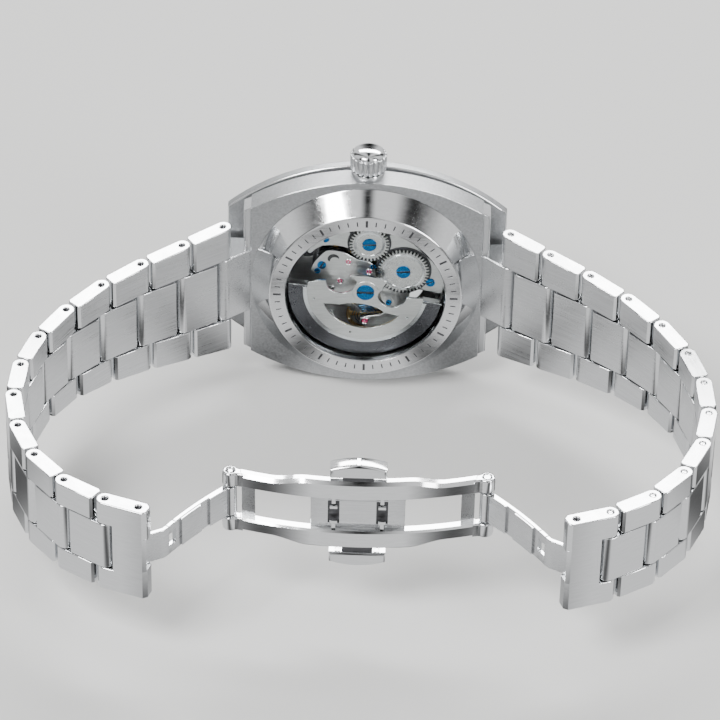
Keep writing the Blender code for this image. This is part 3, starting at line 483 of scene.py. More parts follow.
def end_link(word):
    name = "end_link_" + word
    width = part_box(name)[1].z * 2 / MM
    piece = Piece("bracelet_" + name, link_place(word, 11))
    half, slot, arm_slot = width / 2, width / 4 + SIDE_GAP, 2.75
    end, corner = 6.9, 0.6
    side_outline = (capsule_end(0, -1) + [(end - corner, -HALF_THICK), (end, -HALF_THICK + corner),
                                          (end, HALF_THICK - corner), (end - corner, HALF_THICK)])
    holes = [circle(0, 0, PIN_HOLE_R, 20), circle(BAR_STEP, 0, PIN_HOLE_R, 20)]
    choose = skin(SATIN, POLISH, POLISH_SOFT)
    for s in (-1, 1):
        limits = sorted((s * slot, s * half))
        piece.add(prism([side_outline] + holes, *limits, 0.2, 3), POLISH, choose)
        face = HALF_THICK - 0.004
        inner = [(CENTRE_START, -face), (end - corner, -face), (end - 0.004, -face + corner),
                 (end - 0.004, face - corner), (end - corner, face), (CENTRE_START, face)]
        limits = sorted((s * arm_slot, s * (slot + 0.34)))
        piece.add(prism([inner], *limits, 0.04, 1), POLISH, choose)
    face = HALF_THICK - 0.008
    bridge = [(CENTRE_START, 0.72), (end - 0.3, 0.72), (end - 0.05, 0.85), (end - corner, face),
              (CENTRE_START, face)]
    piece.add(prism([bridge], -arm_slot - 0.3, arm_slot + 0.3, 0.04, 1), POLISH, choose)
    piece.add(box((CENTRE_START, -HALF_THICK, -arm_slot - 0.2), (2.1, HALF_THICK, arm_slot + 0.2), 0.05),
              POLISH, choose)
    piece.add(disc(0.45, -arm_slot - 0.3, arm_slot + 0.3, 0.05, 24, (BAR_STEP, 0.0)), POLISH_SOFT)
    bracelet_pins(piece, width, 0.0, word == "left")
    bracelet_pins(piece, width, BAR_STEP, True)
    piece.done(name, "brushed_steel", name)


# ---------------------------------------------------------------- case

def tonneau(end_x, corner_y, half_width, count=41, cut_x=None):
    """Two long arcs through the corners, cut off square; cut_x cuts the same arcs shorter."""
    rise = half_width - corner_y
    r = (end_x ** 2 + rise ** 2) / (2 * rise)
    half = math.degrees(math.asin((cut_x or end_x) / r))
    return (arc(0, half_width - r, r, 90 - half, 90 + half, count)
            + arc(0, r - half_width, r, 270 - half, 270 + half, count))


def case_faces(normal, centre):
    return BLASTED if abs(normal.z) > 0.93 or abs(normal.z) < 0.2 else None


def middle_case():
    piece = Piece("case_body")
    bore = circle(0, 0, 16.9, 96)
    end_x, corner_y, half_width, cut_x = 19.5, 13.2, 19.3, 18.35
    body = tonneau(end_x, corner_y, half_width, 41, cut_x)
    piece.add(prism([body, bore], 3.6, 7.6, 0.12, 2), POLISH, case_faces)
    for s in (-1, 1):
        corner = corner_y + (half_width - corner_y) * (1 - (cut_x / end_x) ** 2)
        strip = [(s * 18.2, -corner), (s * end_x, -corner_y), (s * end_x, corner_y), (s * 18.2, corner)]
        piece.add(prism([strip], 3.95, 7.45, 0.3, 3), POLISH,
                  lambda n, c: SATIN_ACROSS if abs(n.x) > 0.93 or abs(n.z) > 0.93 else None)
        # Painted shade: a near-black strip at each end where the body meets the flange.
        piece.add(box((s * 18.9 - 0.45, -8.4, 7.0), (s * 18.9 + 0.45, 8.4, 8.5), 0.05), PAINTED_SHADE_STEEL)
    # Painted shade: a near-black layer in the groove between body and flange.
    piece.add(prism([tonneau(19.0, 12.7, 18.8), bore], 7.2, 8.7, 0.05, 1), PAINTED_SHADE_STEEL)
    piece.add(prism([tonneau(22.2, 11.0, 19.5), circle(0, 0, 16.05, 96)], 8.3, 10.0, 0.3, 3), POLISH,
              case_faces)
    # Painted shade: a near-black ring between the case and the movement.
    piece.add(ring(13.5, 17.0, 5.2, 8.35, 0.05, 96), PAINTED_SHADE_PLATE)
    for s in (-1, 1):
        pin = JOINTS["left_pin_01" if s < 0 else "right_pin_01"]
        nose = arc(abs(pin.x), pin.y, HALF_THICK, -150, 60, 19)
        outline = [(18.0, 7.2), (18.0, 4.0)] + nose + [(abs(pin.x) - 0.6, 7.2)]
        outline = [(s * x, y) for x, y in outline]
        tongue = prism([outline, circle(pin.x, pin.y, 0.5, 20)], -5.85, 5.85, 0.25, 3)
        piece.add(swap(tongue, (0, 2, 1)), POLISH,
                  lambda n, c: SATIN if abs(n.y) < 0.2 and abs(n.z) > 0.5 else None)
    collar = lathe([(0, 17.6), (2.7, 17.6), (2.7, 19.5), (2.55, 19.68), (0, 19.68)], 48)
    piece.add(([(x, z, y + JOINTS["crown_turn"].y) for x, y, z in collar[0]], collar[1]), POLISH)
    piece.done("case", "brushed_steel", "middle_case")


def case_back():
    piece = Piece("case_back_ring")
    piece.add(lathe([(15.12, 0.02), (15.3, 0.0), (15.45, 0.1), (18.16, 3.40), (18.25, 3.5), (18.2, 3.55),
                     (16.2, 3.55), (16.2, 4.3), (14.0, 4.3), (13.7, 3.3), (13.7, 0.9), (15.12, 0.9)], 144),
              POLISH)
    marks, middle = [], 14.05
    for k in range(60):
        wide, tall = (0.36, 0.62) if k % 5 == 0 else (0.18, 0.42)
        a = math.radians(6 * k)
        c, s = math.cos(a), math.sin(a)
        corners = ((middle - tall, -wide / 2), (middle + tall, -wide / 2), (middle + tall, wide / 2),
                   (middle - tall, wide / 2))
        marks.append([(x * c - y * s, x * s + y * c) for x, y in corners])
    piece.add(prism([circle(0, 0, 15.12, 144), circle(0, 0, 12.98, 144)] + marks, 0.02, 0.4, 0.02, 1),
              POLISH_SOFT)
    # Painted shade: near-black steel under the marked ring, seen through the cut marks.
    piece.add(ring(12.98, 15.12, 0.17, 0.9, 0.02, 144), PAINTED_SHADE_STEEL)
    piece.add(lathe([(12.7, 0.22), (12.82, 0.05), (12.98, 0.05), (12.98, 1.25), (12.7, 1.25)], 144), POLISH)
    piece.done("case", "polished_steel", "case_back")


def bezel_and_crystals():
    piece = Piece("bezel_ring")
    piece.add(lathe([(16.3, 12.2), (15.75, 12.2), (15.6, 12.05), (15.6, 10.9), (15.2, 10.9), (15.2, 10.15),
                     (18.5, 10.15), (18.6, 10.3), (18.6, 10.75), (18.5, 10.9)][::-1], 144), POLISH)
    piece.done("case", "polished_steel", "bezel")
    piece = Piece("crystal_dial_side")
    piece.add(lathe([(0, 11.2), (15.45, 11.2), (15.45, 12.3), (15.3, 12.45), (15.0, 12.56), (0, 12.6)], 128),
              FRONT_GLASS)
    piece.done("case", "crystal", "front_crystal")
    piece = Piece("crystal_back_side")
    piece.add(disc(12.65, 0.0, 1.0, 0.12, 128), GLASS)
    piece.done("case", "crystal", "back_crystal")


def crown():
    centre = JOINTS["crown_turn"]
    piece = Piece("crown_knob", Place(Vector((0, centre.y, 0)), X_AXIS, Y_AXIS, Z_AXIS))
    flutes, outline = 20, []
    for k in range(flutes):
        for share, r in ((0.0, 2.55), (0.12, 2.66), (0.24, 2.84), (0.36, 2.9), (0.62, 2.9), (0.74, 2.84),
                         (0.88, 2.66)):
            a = 2 * math.pi * (k + share) / flutes
            outline.append((r * math.cos(a), r * math.sin(a)))
    piece.add(prism([outline, circle(0, 0, 1.55, 32)], 20.0, 22.55, 0.1, 2), POLISH_SOFT)
    piece.add(lathe([(0, 22.2), (2.5, 22.2), (2.58, 22.6), (2.42, 22.95), (2.1, 23.22), (1.6, 23.42),
                     (0.9, 23.56), (0, 23.6)], 64), POLISH)
    piece.done("crown", "polished_steel", "crown")


# ---------------------------------------------------------------- clasp

def frame_line(x):
    """Height of the clasp frame's curve at x."""
    return -x * x / FRAME_CURVE


def clasp_place():
    hinge = JOINTS["clasp_fold"]
    return Place(Vector((0, hinge.y + HINGE_T, 0)), X_AXIS, -Y_AXIS, Z_AXIS)


def rail(s):
    """One long rail of the clasp: a chamfered bar on the frame's arc, wider round the buttons."""
    verts, faces = [], []
    stations, corners = 61, 8
    for k in range(stations):
        x = -17.5 + 35.0 * k / (stations - 1)
        ease = min(max((13.0 - abs(x)) / 5.5, 0.0), 1.0)
        outer = RAIL_OUTER + 0.9 * ease * ease * (3 - 2 * ease)
        low, high, inner = frame_line(x) - RAIL_BELOW, frame_line(x) + RAIL_ABOVE, RAIL_INNER
        section = [(inner, low + 0.15), (inner + 0.15, low), (outer - 0.2, low), (outer, low + 0.2),
                   (outer, high - 0.5), (outer - 0.5, high), (inner + 0.3, high), (inner, high - 0.3)]
        verts += [(x, t, s * w) for w, t in section]
    for k in range(stations - 1):
        here, there = k * corners, (k + 1) * corners
        faces += [(here + j, here + (j + 1) % corners, there + (j + 1) % corners, there + j)
                  for j in range(corners)]
    faces += [tuple(range(corners)), tuple(range((stations - 1) * corners, stations * corners))]
    return verts, faces


def clasp_frame():
    piece = Piece("clasp_open_frame", clasp_place())
    neck = [17.1, 17.5, 17.9]
    outline = ([(x, frame_line(x) - RAIL_BELOW) for x in neck] + arc(HINGE_X, HINGE_T, 1.2, -125, 125, 23)
               + [(x, frame_line(x) + RAIL_ABOVE) for x in neck[::-1]])
    for s in (-1, 1):
        limits = sorted((s * RAIL_INNER, s * RAIL_OUTER))
        for end in (-1, 1):
            eye = [(end * x, t) for x, t in outline]
            hole = circle(end * HINGE_X, HINGE_T, 0.55, 24)
            piece.add(prism([eye, hole], *limits, 0.3, 4), POLISH)
        piece.add(rail(s), POLISH)
        rivet = sorted((s * 4.2, s * 5.34))
        profile = [(0, rivet[0]), (0.5, rivet[0]), (0.5, rivet[1]), (0, rivet[1])]
        piece.add(lathe(profile, 24, (HINGE_X, HINGE_T)), POLISH_SOFT)
    for x0, x1 in ((-17.3, -15.3), (15.3, 17.3)):
        count = 5
        line = [x0 + (x1 - x0) * k / count for k in range(count + 1)]
        bar = [(x, frame_line(x) - 0.88) for x in line] + [(x, frame_line(x) - 0.32) for x in line[::-1]]
        piece.add(prism([bar], -3.2, 3.2, 0.1, 2), POLISH_SOFT,
                  lambda n, c: SATIN_ACROSS if n.y > 0.9 else None)
    block = [(-7.0, -3.2), (7.0, -3.2), (7.0, 3.2), (-7.0, 3.2)]
    slots = [[(x - 0.85, -2.1), (x + 0.85, -2.1), (x + 0.85, 2.1), (x - 0.85, 2.1)] for x in (-3.6, 3.6)]
    lid = prism([block] + slots, -0.62, -0.35, 0.05, 1)

    def follow(v):
        return v[0], v[1] + frame_line(v[0]), v[2]

    piece.add(swap(lid, (0, 2, 1)), POLISH_SOFT, lambda n, c: SATIN if abs(n.y) > 0.9 else None, follow)
    for x0, x1 in ((-7.0, -4.6), (-2.6, 2.6), (4.6, 7.0)):
        piece.add(box((x0, -0.88, -3.2), (x1, -0.55, 3.2), 0.05), POLISH_SOFT,
                  lambda n, c: SATIN if abs(n.y) > 0.9 else None, follow)
    # Painted shade: near-black plates under the lid's slots.
    for x in (-3.6, 3.6):
        piece.add(box((x - 1.0, -0.88, -2.3), (x + 1.0, -0.78, 2.3), 0.02), PAINTED_SHADE_STEEL, None, follow)
    piece.done("clasp_frame", "polished_steel", "clasp_frame")
    pin = Piece("clasp_left_pin", clasp_place())
    pin.add(disc(0.45, -5.3, 5.3, 0.12, 32, (-HINGE_X, HINGE_T)), POLISH_SOFT)
    pin.done("clasp_frame", "polished_steel", "hinge_pin_left")


def arm_line(x):
    """The folded arm lies along the frame's curve, then runs straight to its spring bar."""
    start = 5.2
    if x >= start:
        return frame_line(x) + 0.2
    share = (start - x) / (start - BAR_X)
    return (1 - share) * (frame_line(start) + 0.2) + share * BAR_T


def clasp_arm(word):
    side = -1 if word == "left" else 1
    bar, hinge = JOINTS[word + "_bar"], JOINTS["clasp_fold"].copy()
    hinge.x = side * abs(hinge.x)
    along = (hinge - bar).normalized()
    across = Vector((along.y, -along.x, 0)) * side
    tilt = -math.atan2(HINGE_T - BAR_T, HINGE_X - BAR_X)
    c, s = math.cos(tilt), math.sin(tilt)
    piece = Piece("clasp_leaf_" + word, Place(bar.copy(), along, across, Z_AXIS))

    def own(v):
        a, b = v[0] - BAR_X, v[1] - BAR_T
        return a * c - b * s, a * s + b * c, v[2]

    def strip(x0, x1, count, half, width, lift=0.0, bevel=0.12, finish=POLISH, gap=None):
        xs = [x0 + (x1 - x0) * k / count for k in range(count + 1)]
        upper, lower = [], []
        for x in xs:
            slope = (arm_line(x + 0.01) - arm_line(x - 0.01)) / 0.02
            size = math.hypot(1, slope)
            n = (-slope / size, 1 / size)
            t = arm_line(x) + lift * size
            upper.append((x + n[0] * half, t + n[1] * half))
            lower.append((x - n[0] * half, t - n[1] * half))
        for low, high in (((-width, width),) if gap is None else ((-width, -gap), (gap, width))):
            piece.add(prism([lower + upper[::-1]], low, high, bevel, 2), finish,
                      lambda n, c: SATIN if abs(n.y) > 0.9 else None, own)

    strip(7.6, 18.5, 16, 0.36, 2.6)
    strip(6.0, 7.6, 3, 0.36, 2.6, gap=1.1)
    strip(2.3, 6.0, 8, 0.36, 2.6)
    strip(8.6, 12.9, 6, 0.26, 2.5, -0.40, 0.12)
    strip(14.6, 17.9, 5, 0.28, 2.6, -0.40, 0.12)
    for x, t in ((HINGE_X, HINGE_T), (BAR_X, BAR_T)):
        knuckle = prism([circle(x, t, 1.0, 40), circle(x, t, 0.6, 24)], -2.6, 2.6, 0.12, 2)
        piece.add(knuckle, POLISH, None, own)
    piece.done("clasp_arm_" + word, "polished_steel", "clasp_arm_" + word)


def push_button(word):
    low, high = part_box("push_button_" + word)
    s = 1 if low.z + high.z > 0 else -1
    piece = Piece("clasp_button_" + word, clasp_place())
    rim, depth = 7.1, 2.4
    bow = arc(0, rim + depth - 12.0, 12.0, 90 - 20.5, 90 + 20.5, 33)
    outline = [(4.2, rim)] + bow + [(-4.2, rim)]
    cap = prism([[(x, s * z) for x, z in outline]], -1.85, 0.65, 0.45, 4)
    piece.add(swap(cap, (0, 2, 1)), POLISH,
              lambda n, c: POLISH_SOFT if abs(n.y) > 0.95 else None)
    # Painted shade: a near-black tongue under the cap, the dark band between cap and rail.
    tongue = sorted((s * 4.6, s * (rim + 0.6)))
    piece.add(box((-2.3, -0.28, tongue[0]), (2.3, 0.08, tongue[1]), 0.05), PAINTED_SHADE_STEEL)
    for x in (-2.9, 2.9):
        tab = sorted((s * 7.04, s * (rim + 0.4)))
        piece.add(box((x - 0.45, -0.9, tab[0]), (x + 0.45, 0.3, tab[1]), 0.12), POLISH_SOFT)
    for x in (-3.6, 3.6):
        hook = sorted((s * 1.1, s * 4.8))
        piece.add(box((x - 0.28, -0.30, hook[0]), (x + 0.28, -0.02, hook[1]), 0.06), POLISH)
        claw = sorted((s * 1.1, s * 1.7))
        piece.add(box((x - 0.55, -0.30, claw[0]), (x + 0.55, 0.25, claw[1]), 0.08), POLISH)
    piece.done("push_button_" + word, "polished_steel", "push_button_" + word)


# ---------------------------------------------------------------- movement

def at_joint(name):
    p = JOINTS[name]
    return p.x, p.z


def toothed(teeth, tip_r, root_r, cx=0.0, cy=0.0):
    """Trapezoid teeth round a circle."""
    points = []
    for k in range(teeth):
        for share, r in ((0.0, root_r), (0.28, root_r), (0.42, tip_r), (0.70, tip_r), (0.86, root_r)):
            a = 2 * math.pi * (k + share) / teeth
            points.append((cx + r * math.cos(a), cy + r * math.sin(a)))
    return points


def slotted_screw(piece, x, z, r, low, high, finish, angle):
    """A screw head with its slot: two half discs either side of a gap, with a disc below painted dark as the
    shade in the slot.
    """
    gap = 0.11 * r + 0.04
    a = math.degrees(math.asin(gap / r))
    for flip in (0, 180):
        half = turn(prism([arc(0, 0, r, a, 180 - a, 17)], low, high, min(0.06, r * 0.1), 2), angle + flip)
        piece.add(shift(half, x, z), finish)
    # Painted shade: a near-black disc under the halves, seen in the slot.
    piece.add(disc(r * 0.96, low + 0.12, high, 0.02, 24, (x, z)), PAINTED_SHADE_STEEL)


def jewel(piece, x, z, r, low):
    """A ruby cup in a polished sink."""
    piece.add(ring(r, r + 0.16, low, low + 0.3, 0.05, 28, (x, z)), POLISH)
    piece.add(ring(r * 0.3, r, low + 0.06, low + 0.3, 0.08, 24, (x, z)), RUBY)


def plate_faces(normal, centre):
    """Grained on top, bright on the broken edge, painted dark down the wall as shade."""
    if normal.z < -0.9:
        return RHODIUM
    return PAINTED_SHADE_PLATE if abs(normal.z) < 0.35 else None


def bridges():
    piece = Piece("movement_barrel_bridge")
    s_curve = [(-8.9, 5.6), (-7.9, 6.6), (-6.9, 7.2), (-5.2, 7.3), (-4.0, 7.15), (-2.9, 6.8), (-2.0, 6.2),
               (-1.2, 5.6), (-0.2, 5.3), (0.9, 5.1), (1.9, 4.5), (2.6, 3.7), (3.2, 2.7), (3.6, 1.7),
               (4.2, 0.8), (4.9, 0.2), (6.0, -0.3), (7.0, -0.6), (8.5, -0.95), (10.0, -1.2)]
    barrel, crown_wheel = at_joint("ratchet_turn"), at_joint("crown_wheel_turn")
    piece.add(prism([arc(0, 0, BRIDGE_R, -8, 148, 49) + s_curve, circle(*barrel, 0.75, 24),
                     circle(*crown_wheel, 0.6, 24)], 3.6, 4.5, 0.14, 2), POLISH, plate_faces)
    for x, z, r, a in ((10.3, 0.6, 0.75, 20), (-6.6, 8.7, 0.75, 70), (9.6, 6.6, 0.6, 130),
                       (-3.4, 10.6, 0.6, 10)):
        slotted_screw(piece, x, z, r, 3.42, 3.7, BLUED if r > 0.7 else POLISH_SOFT, a)
    # Painted shade: near-black discs on the bridge under the ratchet and crown wheels.
    for x, z, r in ((*barrel, 4.5), (*crown_wheel, 3.5)):
        piece.add(disc(r, 3.54, 3.7, 0.03, 96, (x, z)), PAINTED_SHADE_STEEL)
    piece.done("case", "rhodium_plate", "barrel_bridge")
    piece = Piece("movement_train_bridge")
    corners = [(-8.8, 2.3), (-8.4, 3.9), (-6.6, 6.2), (-5.4, 6.4), (-3.4, 6.0), (-1.7, 4.8), (0.4, 4.4),
               (1.9, 3.1), (2.7, 1.6), (1.5, -1.4), (-1.8, -1.6), (-2.6, -3.2), (-4.4, -4.2), (-6.4, -3.4),
               (-6.9, -0.8), (-7.2, 1.2)]
    recess = arc(-5.2, 4.7, 0.95, 200, 20, 15) + arc(-5.0, 4.3, 0.75, 30, 190, 13)
    piece.add(prism([rounded(corners)], 3.6, 4.5, 0.14, 2), POLISH, plate_faces)
    # Painted shade: a near-black recess in the train bridge.
    piece.add(prism([recess], 3.57, 3.7, 0.02, 1), PAINTED_SHADE_STEEL)
    for name, r in (("third_turn", 0.42), ("train_run", 0.42), ("escape_turn", 0.34)):
        jewel(piece, *at_joint(name), r, 3.5)
    jewel(piece, 0.5, 2.35, 0.42, 3.5)
    for x, z, r, a in ((-7.06, 3.5, 0.72, 60), (-7.75, 2.35, 0.5, 10), (1.15, 3.4, 0.45, 100)):
        slotted_screw(piece, x, z, r, 3.42, 3.7, BLUED, a)
    slotted_screw(piece, -5.5, -1.1, 0.6, 3.42, 3.7, POLISH_SOFT, 35)
    piece.done("case", "rhodium_plate", "train_bridge")
    piece = Piece("movement_balance_cock")
    inner_edge = [(9.0, -5.0), (6.0, -4.4), (4.2, -4.6), (2.4, -6.1), (0.4, -6.4), (-0.8, -6.8), (-1.0, -7.7),
                  (-0.2, -8.4), (0.6, -9.4), (-0.6, -10.8)]
    cock = arc(0, 0, BRIDGE_R, 262, 325, 25) + inner_edge
    piece.add(prism([cock], 3.6, 4.4, 0.14, 2), POLISH, plate_faces)
    piece.add(prism([circle(4.7, -2.1, 2.35, 64)], 3.66, 4.4, 0.12, 2), POLISH, plate_faces)
    slotted_screw(piece, 3.75, -3.6, 0.5, 3.5, 3.75, BLUED, 150)
    jewel(piece, *at_joint("balance_swing"), 0.5, 3.46)
    slotted_screw(piece, 7.6, -7.6, 0.9, 3.42, 3.7, BLUED, 40)
    piece.done("case", "rhodium_plate", "balance_cock")


def rounded(corners, reach=0.32, count=5):
    """A closed outline with a small curve at every corner."""
    points = []
    for k, corner in enumerate(corners):
        before, here, after = Vector(corners[k - 1]), Vector(corner), Vector(corners[(k + 1) % len(corners)])
        a = here + (before - here) * reach
        b = here + (after - here) * reach
        for j in range(count):
            t = j / (count - 1)
            points.append(tuple(a * (1 - t) ** 2 + here * 2 * t * (1 - t) + b * t * t))
    return points


def mainplate():
    """A plate with a notch round the winding stem, a rim and the bridges' pillars, painted near-black as
    shade except on its dial side.
    """
    piece = Piece("movement_mainplate")
    windows = [circle(x, z, 2.2, 32) for x, z in ((9.0, -5.0), (-9.6, 5.2), (6.6, 9.6))]
    radius, notch = 13.0, 2.2
    side = math.degrees(math.asin(notch / radius))
    rim = arc(0, 0, radius, 90 + side, 450 - side, 96) + [(notch, 9.3), (-notch, 9.3)]
    piece.add(prism([rim, circle(0, 0, 1.0, 24)] + windows, 6.5, 7.9, 0.12, 2), PAINTED_SHADE_PLATE,
              lambda n, c: RHODIUM if n.z > 0.9 else None)
    piece.add(ring(12.45, 13.45, 3.7, 6.55, 0.1, 96), PAINTED_SHADE_PLATE)
    for x, z in ((11.3, -0.3), (7.6, 8.9), (-0.6, 11.4), (-7.6, 8.6), (-7.8, 3.0), (-6.9, 5.1), (8.8, -7.4),
                 (6.6, -9.6)):
        piece.add(disc(0.8, 4.2, 6.6, 0.05, 20, (x, z)), PAINTED_SHADE_PLATE)
    piece.done("case", "rhodium_plate", "mainplate")


def spoked(piece, at, teeth, tip_r, low, high, finish):
    spokes, hub_share = 5, 0.3
    root = tip_r - 0.26
    inner, outer = hub_share * tip_r, root - 0.4
    windows = []
    for k in range(spokes):
        start, end = 360.0 * k / spokes + 9, 360.0 * (k + 1) / spokes - 9
        windows.append([(x + at[0], y + at[1]) for x, y in arc(0, 0, outer, start, end, 13)
                        + arc(0, 0, inner, end - 8, start + 8, 7)])
    outline = toothed(teeth, tip_r, root, *at)
    piece.add(prism([outline] + windows, low, high, 0.03, 1), finish)


def wheels():
    for node, joint, teeth, r in (("ratchet_wheel", "ratchet_turn", 42, 4.15),
                                  ("crown_wheel", "crown_wheel_turn", 32, 3.2)):
        x, z = at_joint(joint)
        piece = Piece("movement_" + node)
        # Painted shade: a near-black disc behind the toothed ring.
        piece.add(disc(r - 0.62, 3.36, 3.56, 0.03, 72, (x, z)), PAINTED_SHADE_STEEL)
        piece.add(prism([toothed(teeth, r - 0.02, r - 0.55, x, z)], 3.05, 3.42, 0.04, 1), WHEEL_STEEL)
        piece.add(ring(r - 1.15, r - 0.75, 3.0, 3.2, 0.04, 72, (x, z)), POLISH)
        slotted_screw(piece, x, z, 1.15, 2.9, 3.2, BLUED, 5)
        piece.done(node, "polished_steel", node)
    piece = Piece("movement_barrel")
    x, z = at_joint("barrel_turn")
    piece.add(prism([toothed(72, 5.2, 4.9, x, z)], 4.75, 5.0, 0.03, 1), BRASS)
    piece.add(disc(4.6, 4.95, 5.75, 0.12, 64, (x, z)), BRASS)
    piece.add(disc(0.6, 3.62, 5.0, 0.05, 20, (x, z)), POLISH)
    piece.done("mainspring_barrel", "wheel_brass", "mainspring_barrel")
    for node, joint, teeth, r, depths, pinion in (
            ("third_wheel", "third_turn", 60, 3.3, (4.75, 5.0), (8, 0.7, 5.9, 6.25)),
            ("fourth_wheel", "train_run", 72, 2.6, (5.4, 5.65), (8, 0.6, 4.75, 5.1)),
            ("centre_wheel", "centre_turn", 64, 4.3, (5.95, 6.2), (12, 1.38, 4.9, 5.6))):
        at = at_joint(joint)
        piece = Piece("movement_" + node)
        spoked(piece, at, teeth, r, *depths, BRASS)
        count, pr, low, high = pinion
        piece.add(prism([toothed(count, pr, pr * 0.62, *at)], low, high, 0.04, 1), POLISH)
        reach = {"third_wheel": 6.45, "fourth_wheel": 5.83, "centre_wheel": 10.1}[node]
        piece.add(disc(0.28, 3.75, reach, 0.06, 16, at), POLISH)
        piece.done(node, "wheel_brass", node)
    at = at_joint("escape_turn")
    piece = Piece("movement_escape_wheel")
    points, teeth = [], 15
    for k in range(teeth):
        for share, r in ((0.0, 2.1), (0.25, 2.03), (0.35, 1.5), (0.8, 1.54)):
            a = 2 * math.pi * (k + share) / teeth
            points.append((at[0] + r * math.cos(a), at[1] + r * math.sin(a)))
    holes = [[(at[0] + x, at[1] + y) for x, y in arc(0, 0, 1.2, a + 12, a + 78, 7)
              + arc(0, 0, 0.5, a + 62, a + 28, 3)] for a in (0, 90, 180, 270)]
    piece.add(prism([points] + holes, 4.8, 5.05, 0.03, 1), POLISH_SOFT)
    piece.add(disc(0.28, 3.75, 6.45, 0.06, 16, at), POLISH)
    piece.add(prism([toothed(6, 0.6, 0.4, *at)], 5.3, 5.75, 0.03, 1), POLISH)
    piece.done("escape_wheel", "polished_steel", "escape_wheel")


def balance():
    at = at_joint("balance_swing")
    piece = Piece("movement_balance_wheel")
    windows = [[(at[0] + x, at[1] + y) for x, y in arc(0, 0, 2.5, b + 8, b + 172, 25)
                + arc(0, 0, 0.5, b + 150, b + 30, 5)] for b in (0, 180)]
    piece.add(prism([circle(*at, 3.05, 64)] + windows, 5.3, 5.75, 0.08, 2), BRASS)
    for k in range(8):
        a = math.radians(22.5 + 45 * k)
        screw = (at[0] + 2.77 * math.cos(a), at[1] + 2.77 * math.sin(a))
        piece.add(disc(0.16, 5.2, 5.5, 0.04, 12, screw), POLISH)
    piece.add(disc(0.25, 4.5, 6.45, 0.06, 16, at), POLISH)
    piece.done("balance", "wheel_brass", "balance_wheel")


ROTOR_TILT = -8.0


def rotor():
    piece = Piece("winding_rotor")
    hub = [(3.1, 2.6), (1.6, 2.95), (0.0, 3.05), (-1.5, 2.98), (-3.0, 2.7)]
    left_bay = arc(-4.15, 1.5, 2.45, 8, -172, 27)
    right_bay = arc(4.35, 0.0, 2.3, 188, 360, 27)
    outline = (hub + left_bay + [(-7.6, 1.0), (-9.3, 0.4)] + arc(0, 0, 9.35, 182, 358, 61)
               + [(9.3, 0.3), (7.8, 0.1)] + right_bay[::-1])
    bay_top = [(3.6, -3.5), (2.6, -2.9), (1.6, -2.55), (0.0, -2.4), (-1.6, -2.5), (-2.7, -2.7), (-3.6, -3.1),
               (-5.0, -3.2)]
    crescent = arc(0, 0, 7.1, 208, 328, 31) + bay_top
    bore = circle(0, 0, 0.95, 32)
    pricks = [circle(x, z, 0.16, 12) for x, z in ((-7.9, -2.6), (-1.2, -8.2), (7.4, -3.9))]
    piece.add(turn(prism([outline, crescent, bore] + pricks, 1.3, 1.75, 0.09, 2), ROTOR_TILT), POLISH,
              lambda n, c: RHODIUM if n.z < -0.9 else None)
    rim = arc(0, 0, 12.35, 182, 358, 89) + arc(0, 0, 9.3, 358, 182, 73)
    # Painted shade: the rim's face towards the case back is near-black.
    piece.add(turn(prism([rim], 1.42, 2.85, 0.14, 2), ROTOR_TILT), POLISH_SOFT,
              lambda n, c: ROTOR_RIM_SHADE if n.z < -0.9 else None)
    step = arc(0, 0, 9.95, 184, 356, 73) + arc(0, 0, 9.25, 356, 184, 73)
    piece.add(turn(prism([step], 1.34, 1.6, 0.06, 2), ROTOR_TILT), POLISH_SOFT)
    piece.add(ring(0.95, 2.1, 1.22, 1.45, 0.08, 48), RHODIUM)
    piece.done("rotor", "rhodium_plate", "rotor")
    piece = Piece("winding_rotor_screw")
    slotted_screw(piece, 0, 0, 1.45, 1.1, 1.36, BLUED, 0)
    piece.add(disc(0.8, 1.3, 3.3, 0.05, 24), BLUED)
    piece.done("rotor", "blued_steel", "rotor_screw")


# ---------------------------------------------------------------- dial side

def dial():
    piece = Piece("dial_skeleton")
    windows = [arc(0, 0, 10.4, a, a + 96, 33) + arc(0, 0, 3.4, a + 84, a + 12, 13) for a in (12, 132, 252)]
    piece.add(prism([circle(0, 0, 15.6, 128), circle(0, 0, 0.9, 32)] + windows, 8.6, 9.0, 0.06, 2), LACQUER,
              lambda n, c: RHODIUM if n.z < -0.9 else None)
    for k in range(12):
        mark = box((11.2, -0.35, 8.9), (14.4, 0.35, 9.25), 0.08)
        piece.add(turn(mark, 30 * k), POLISH)
    for k in range(60):
        if k % 5:
            piece.add(turn(box((14.7, -0.08, 8.95), (15.3, 0.08, 9.06), 0.02), 6 * k), POLISH_SOFT)
    piece.done("case", "dial_lacquer", "dial")


def hand(node, body, length, width, low, high, bore, angle):
    piece = Piece("dial_" + node)
    outline = arc(0, 0, 1.0, 20, 340, 33) + [(2.0, -width / 2), (length - 1.0, -width / 2), (length, 0),
                                             (length - 1.0, width / 2), (2.0, width / 2)]
    holes = [circle(0, 0, bore, 24)]
    if width > 0.8:
        tip = length - 1.8
        holes.append([(3.0, -width / 4), (tip, -width / 4), (tip, width / 4), (3.0, width / 4)])
    piece.add(turn(prism([outline] + holes, low, high, 0.04, 2), angle), POLISH)
    piece.done(body, "polished_steel", node)


# ---------------------------------------------------------------- carried-over nodes, stage, light, camera

CARRIED = {"case_back_gasket": "rubber", "crown_tube": "steel", "winding_stem": "steel",
           "setting_lever": "steel", "pallet_fork": "steel", "hairspring": "blue"}


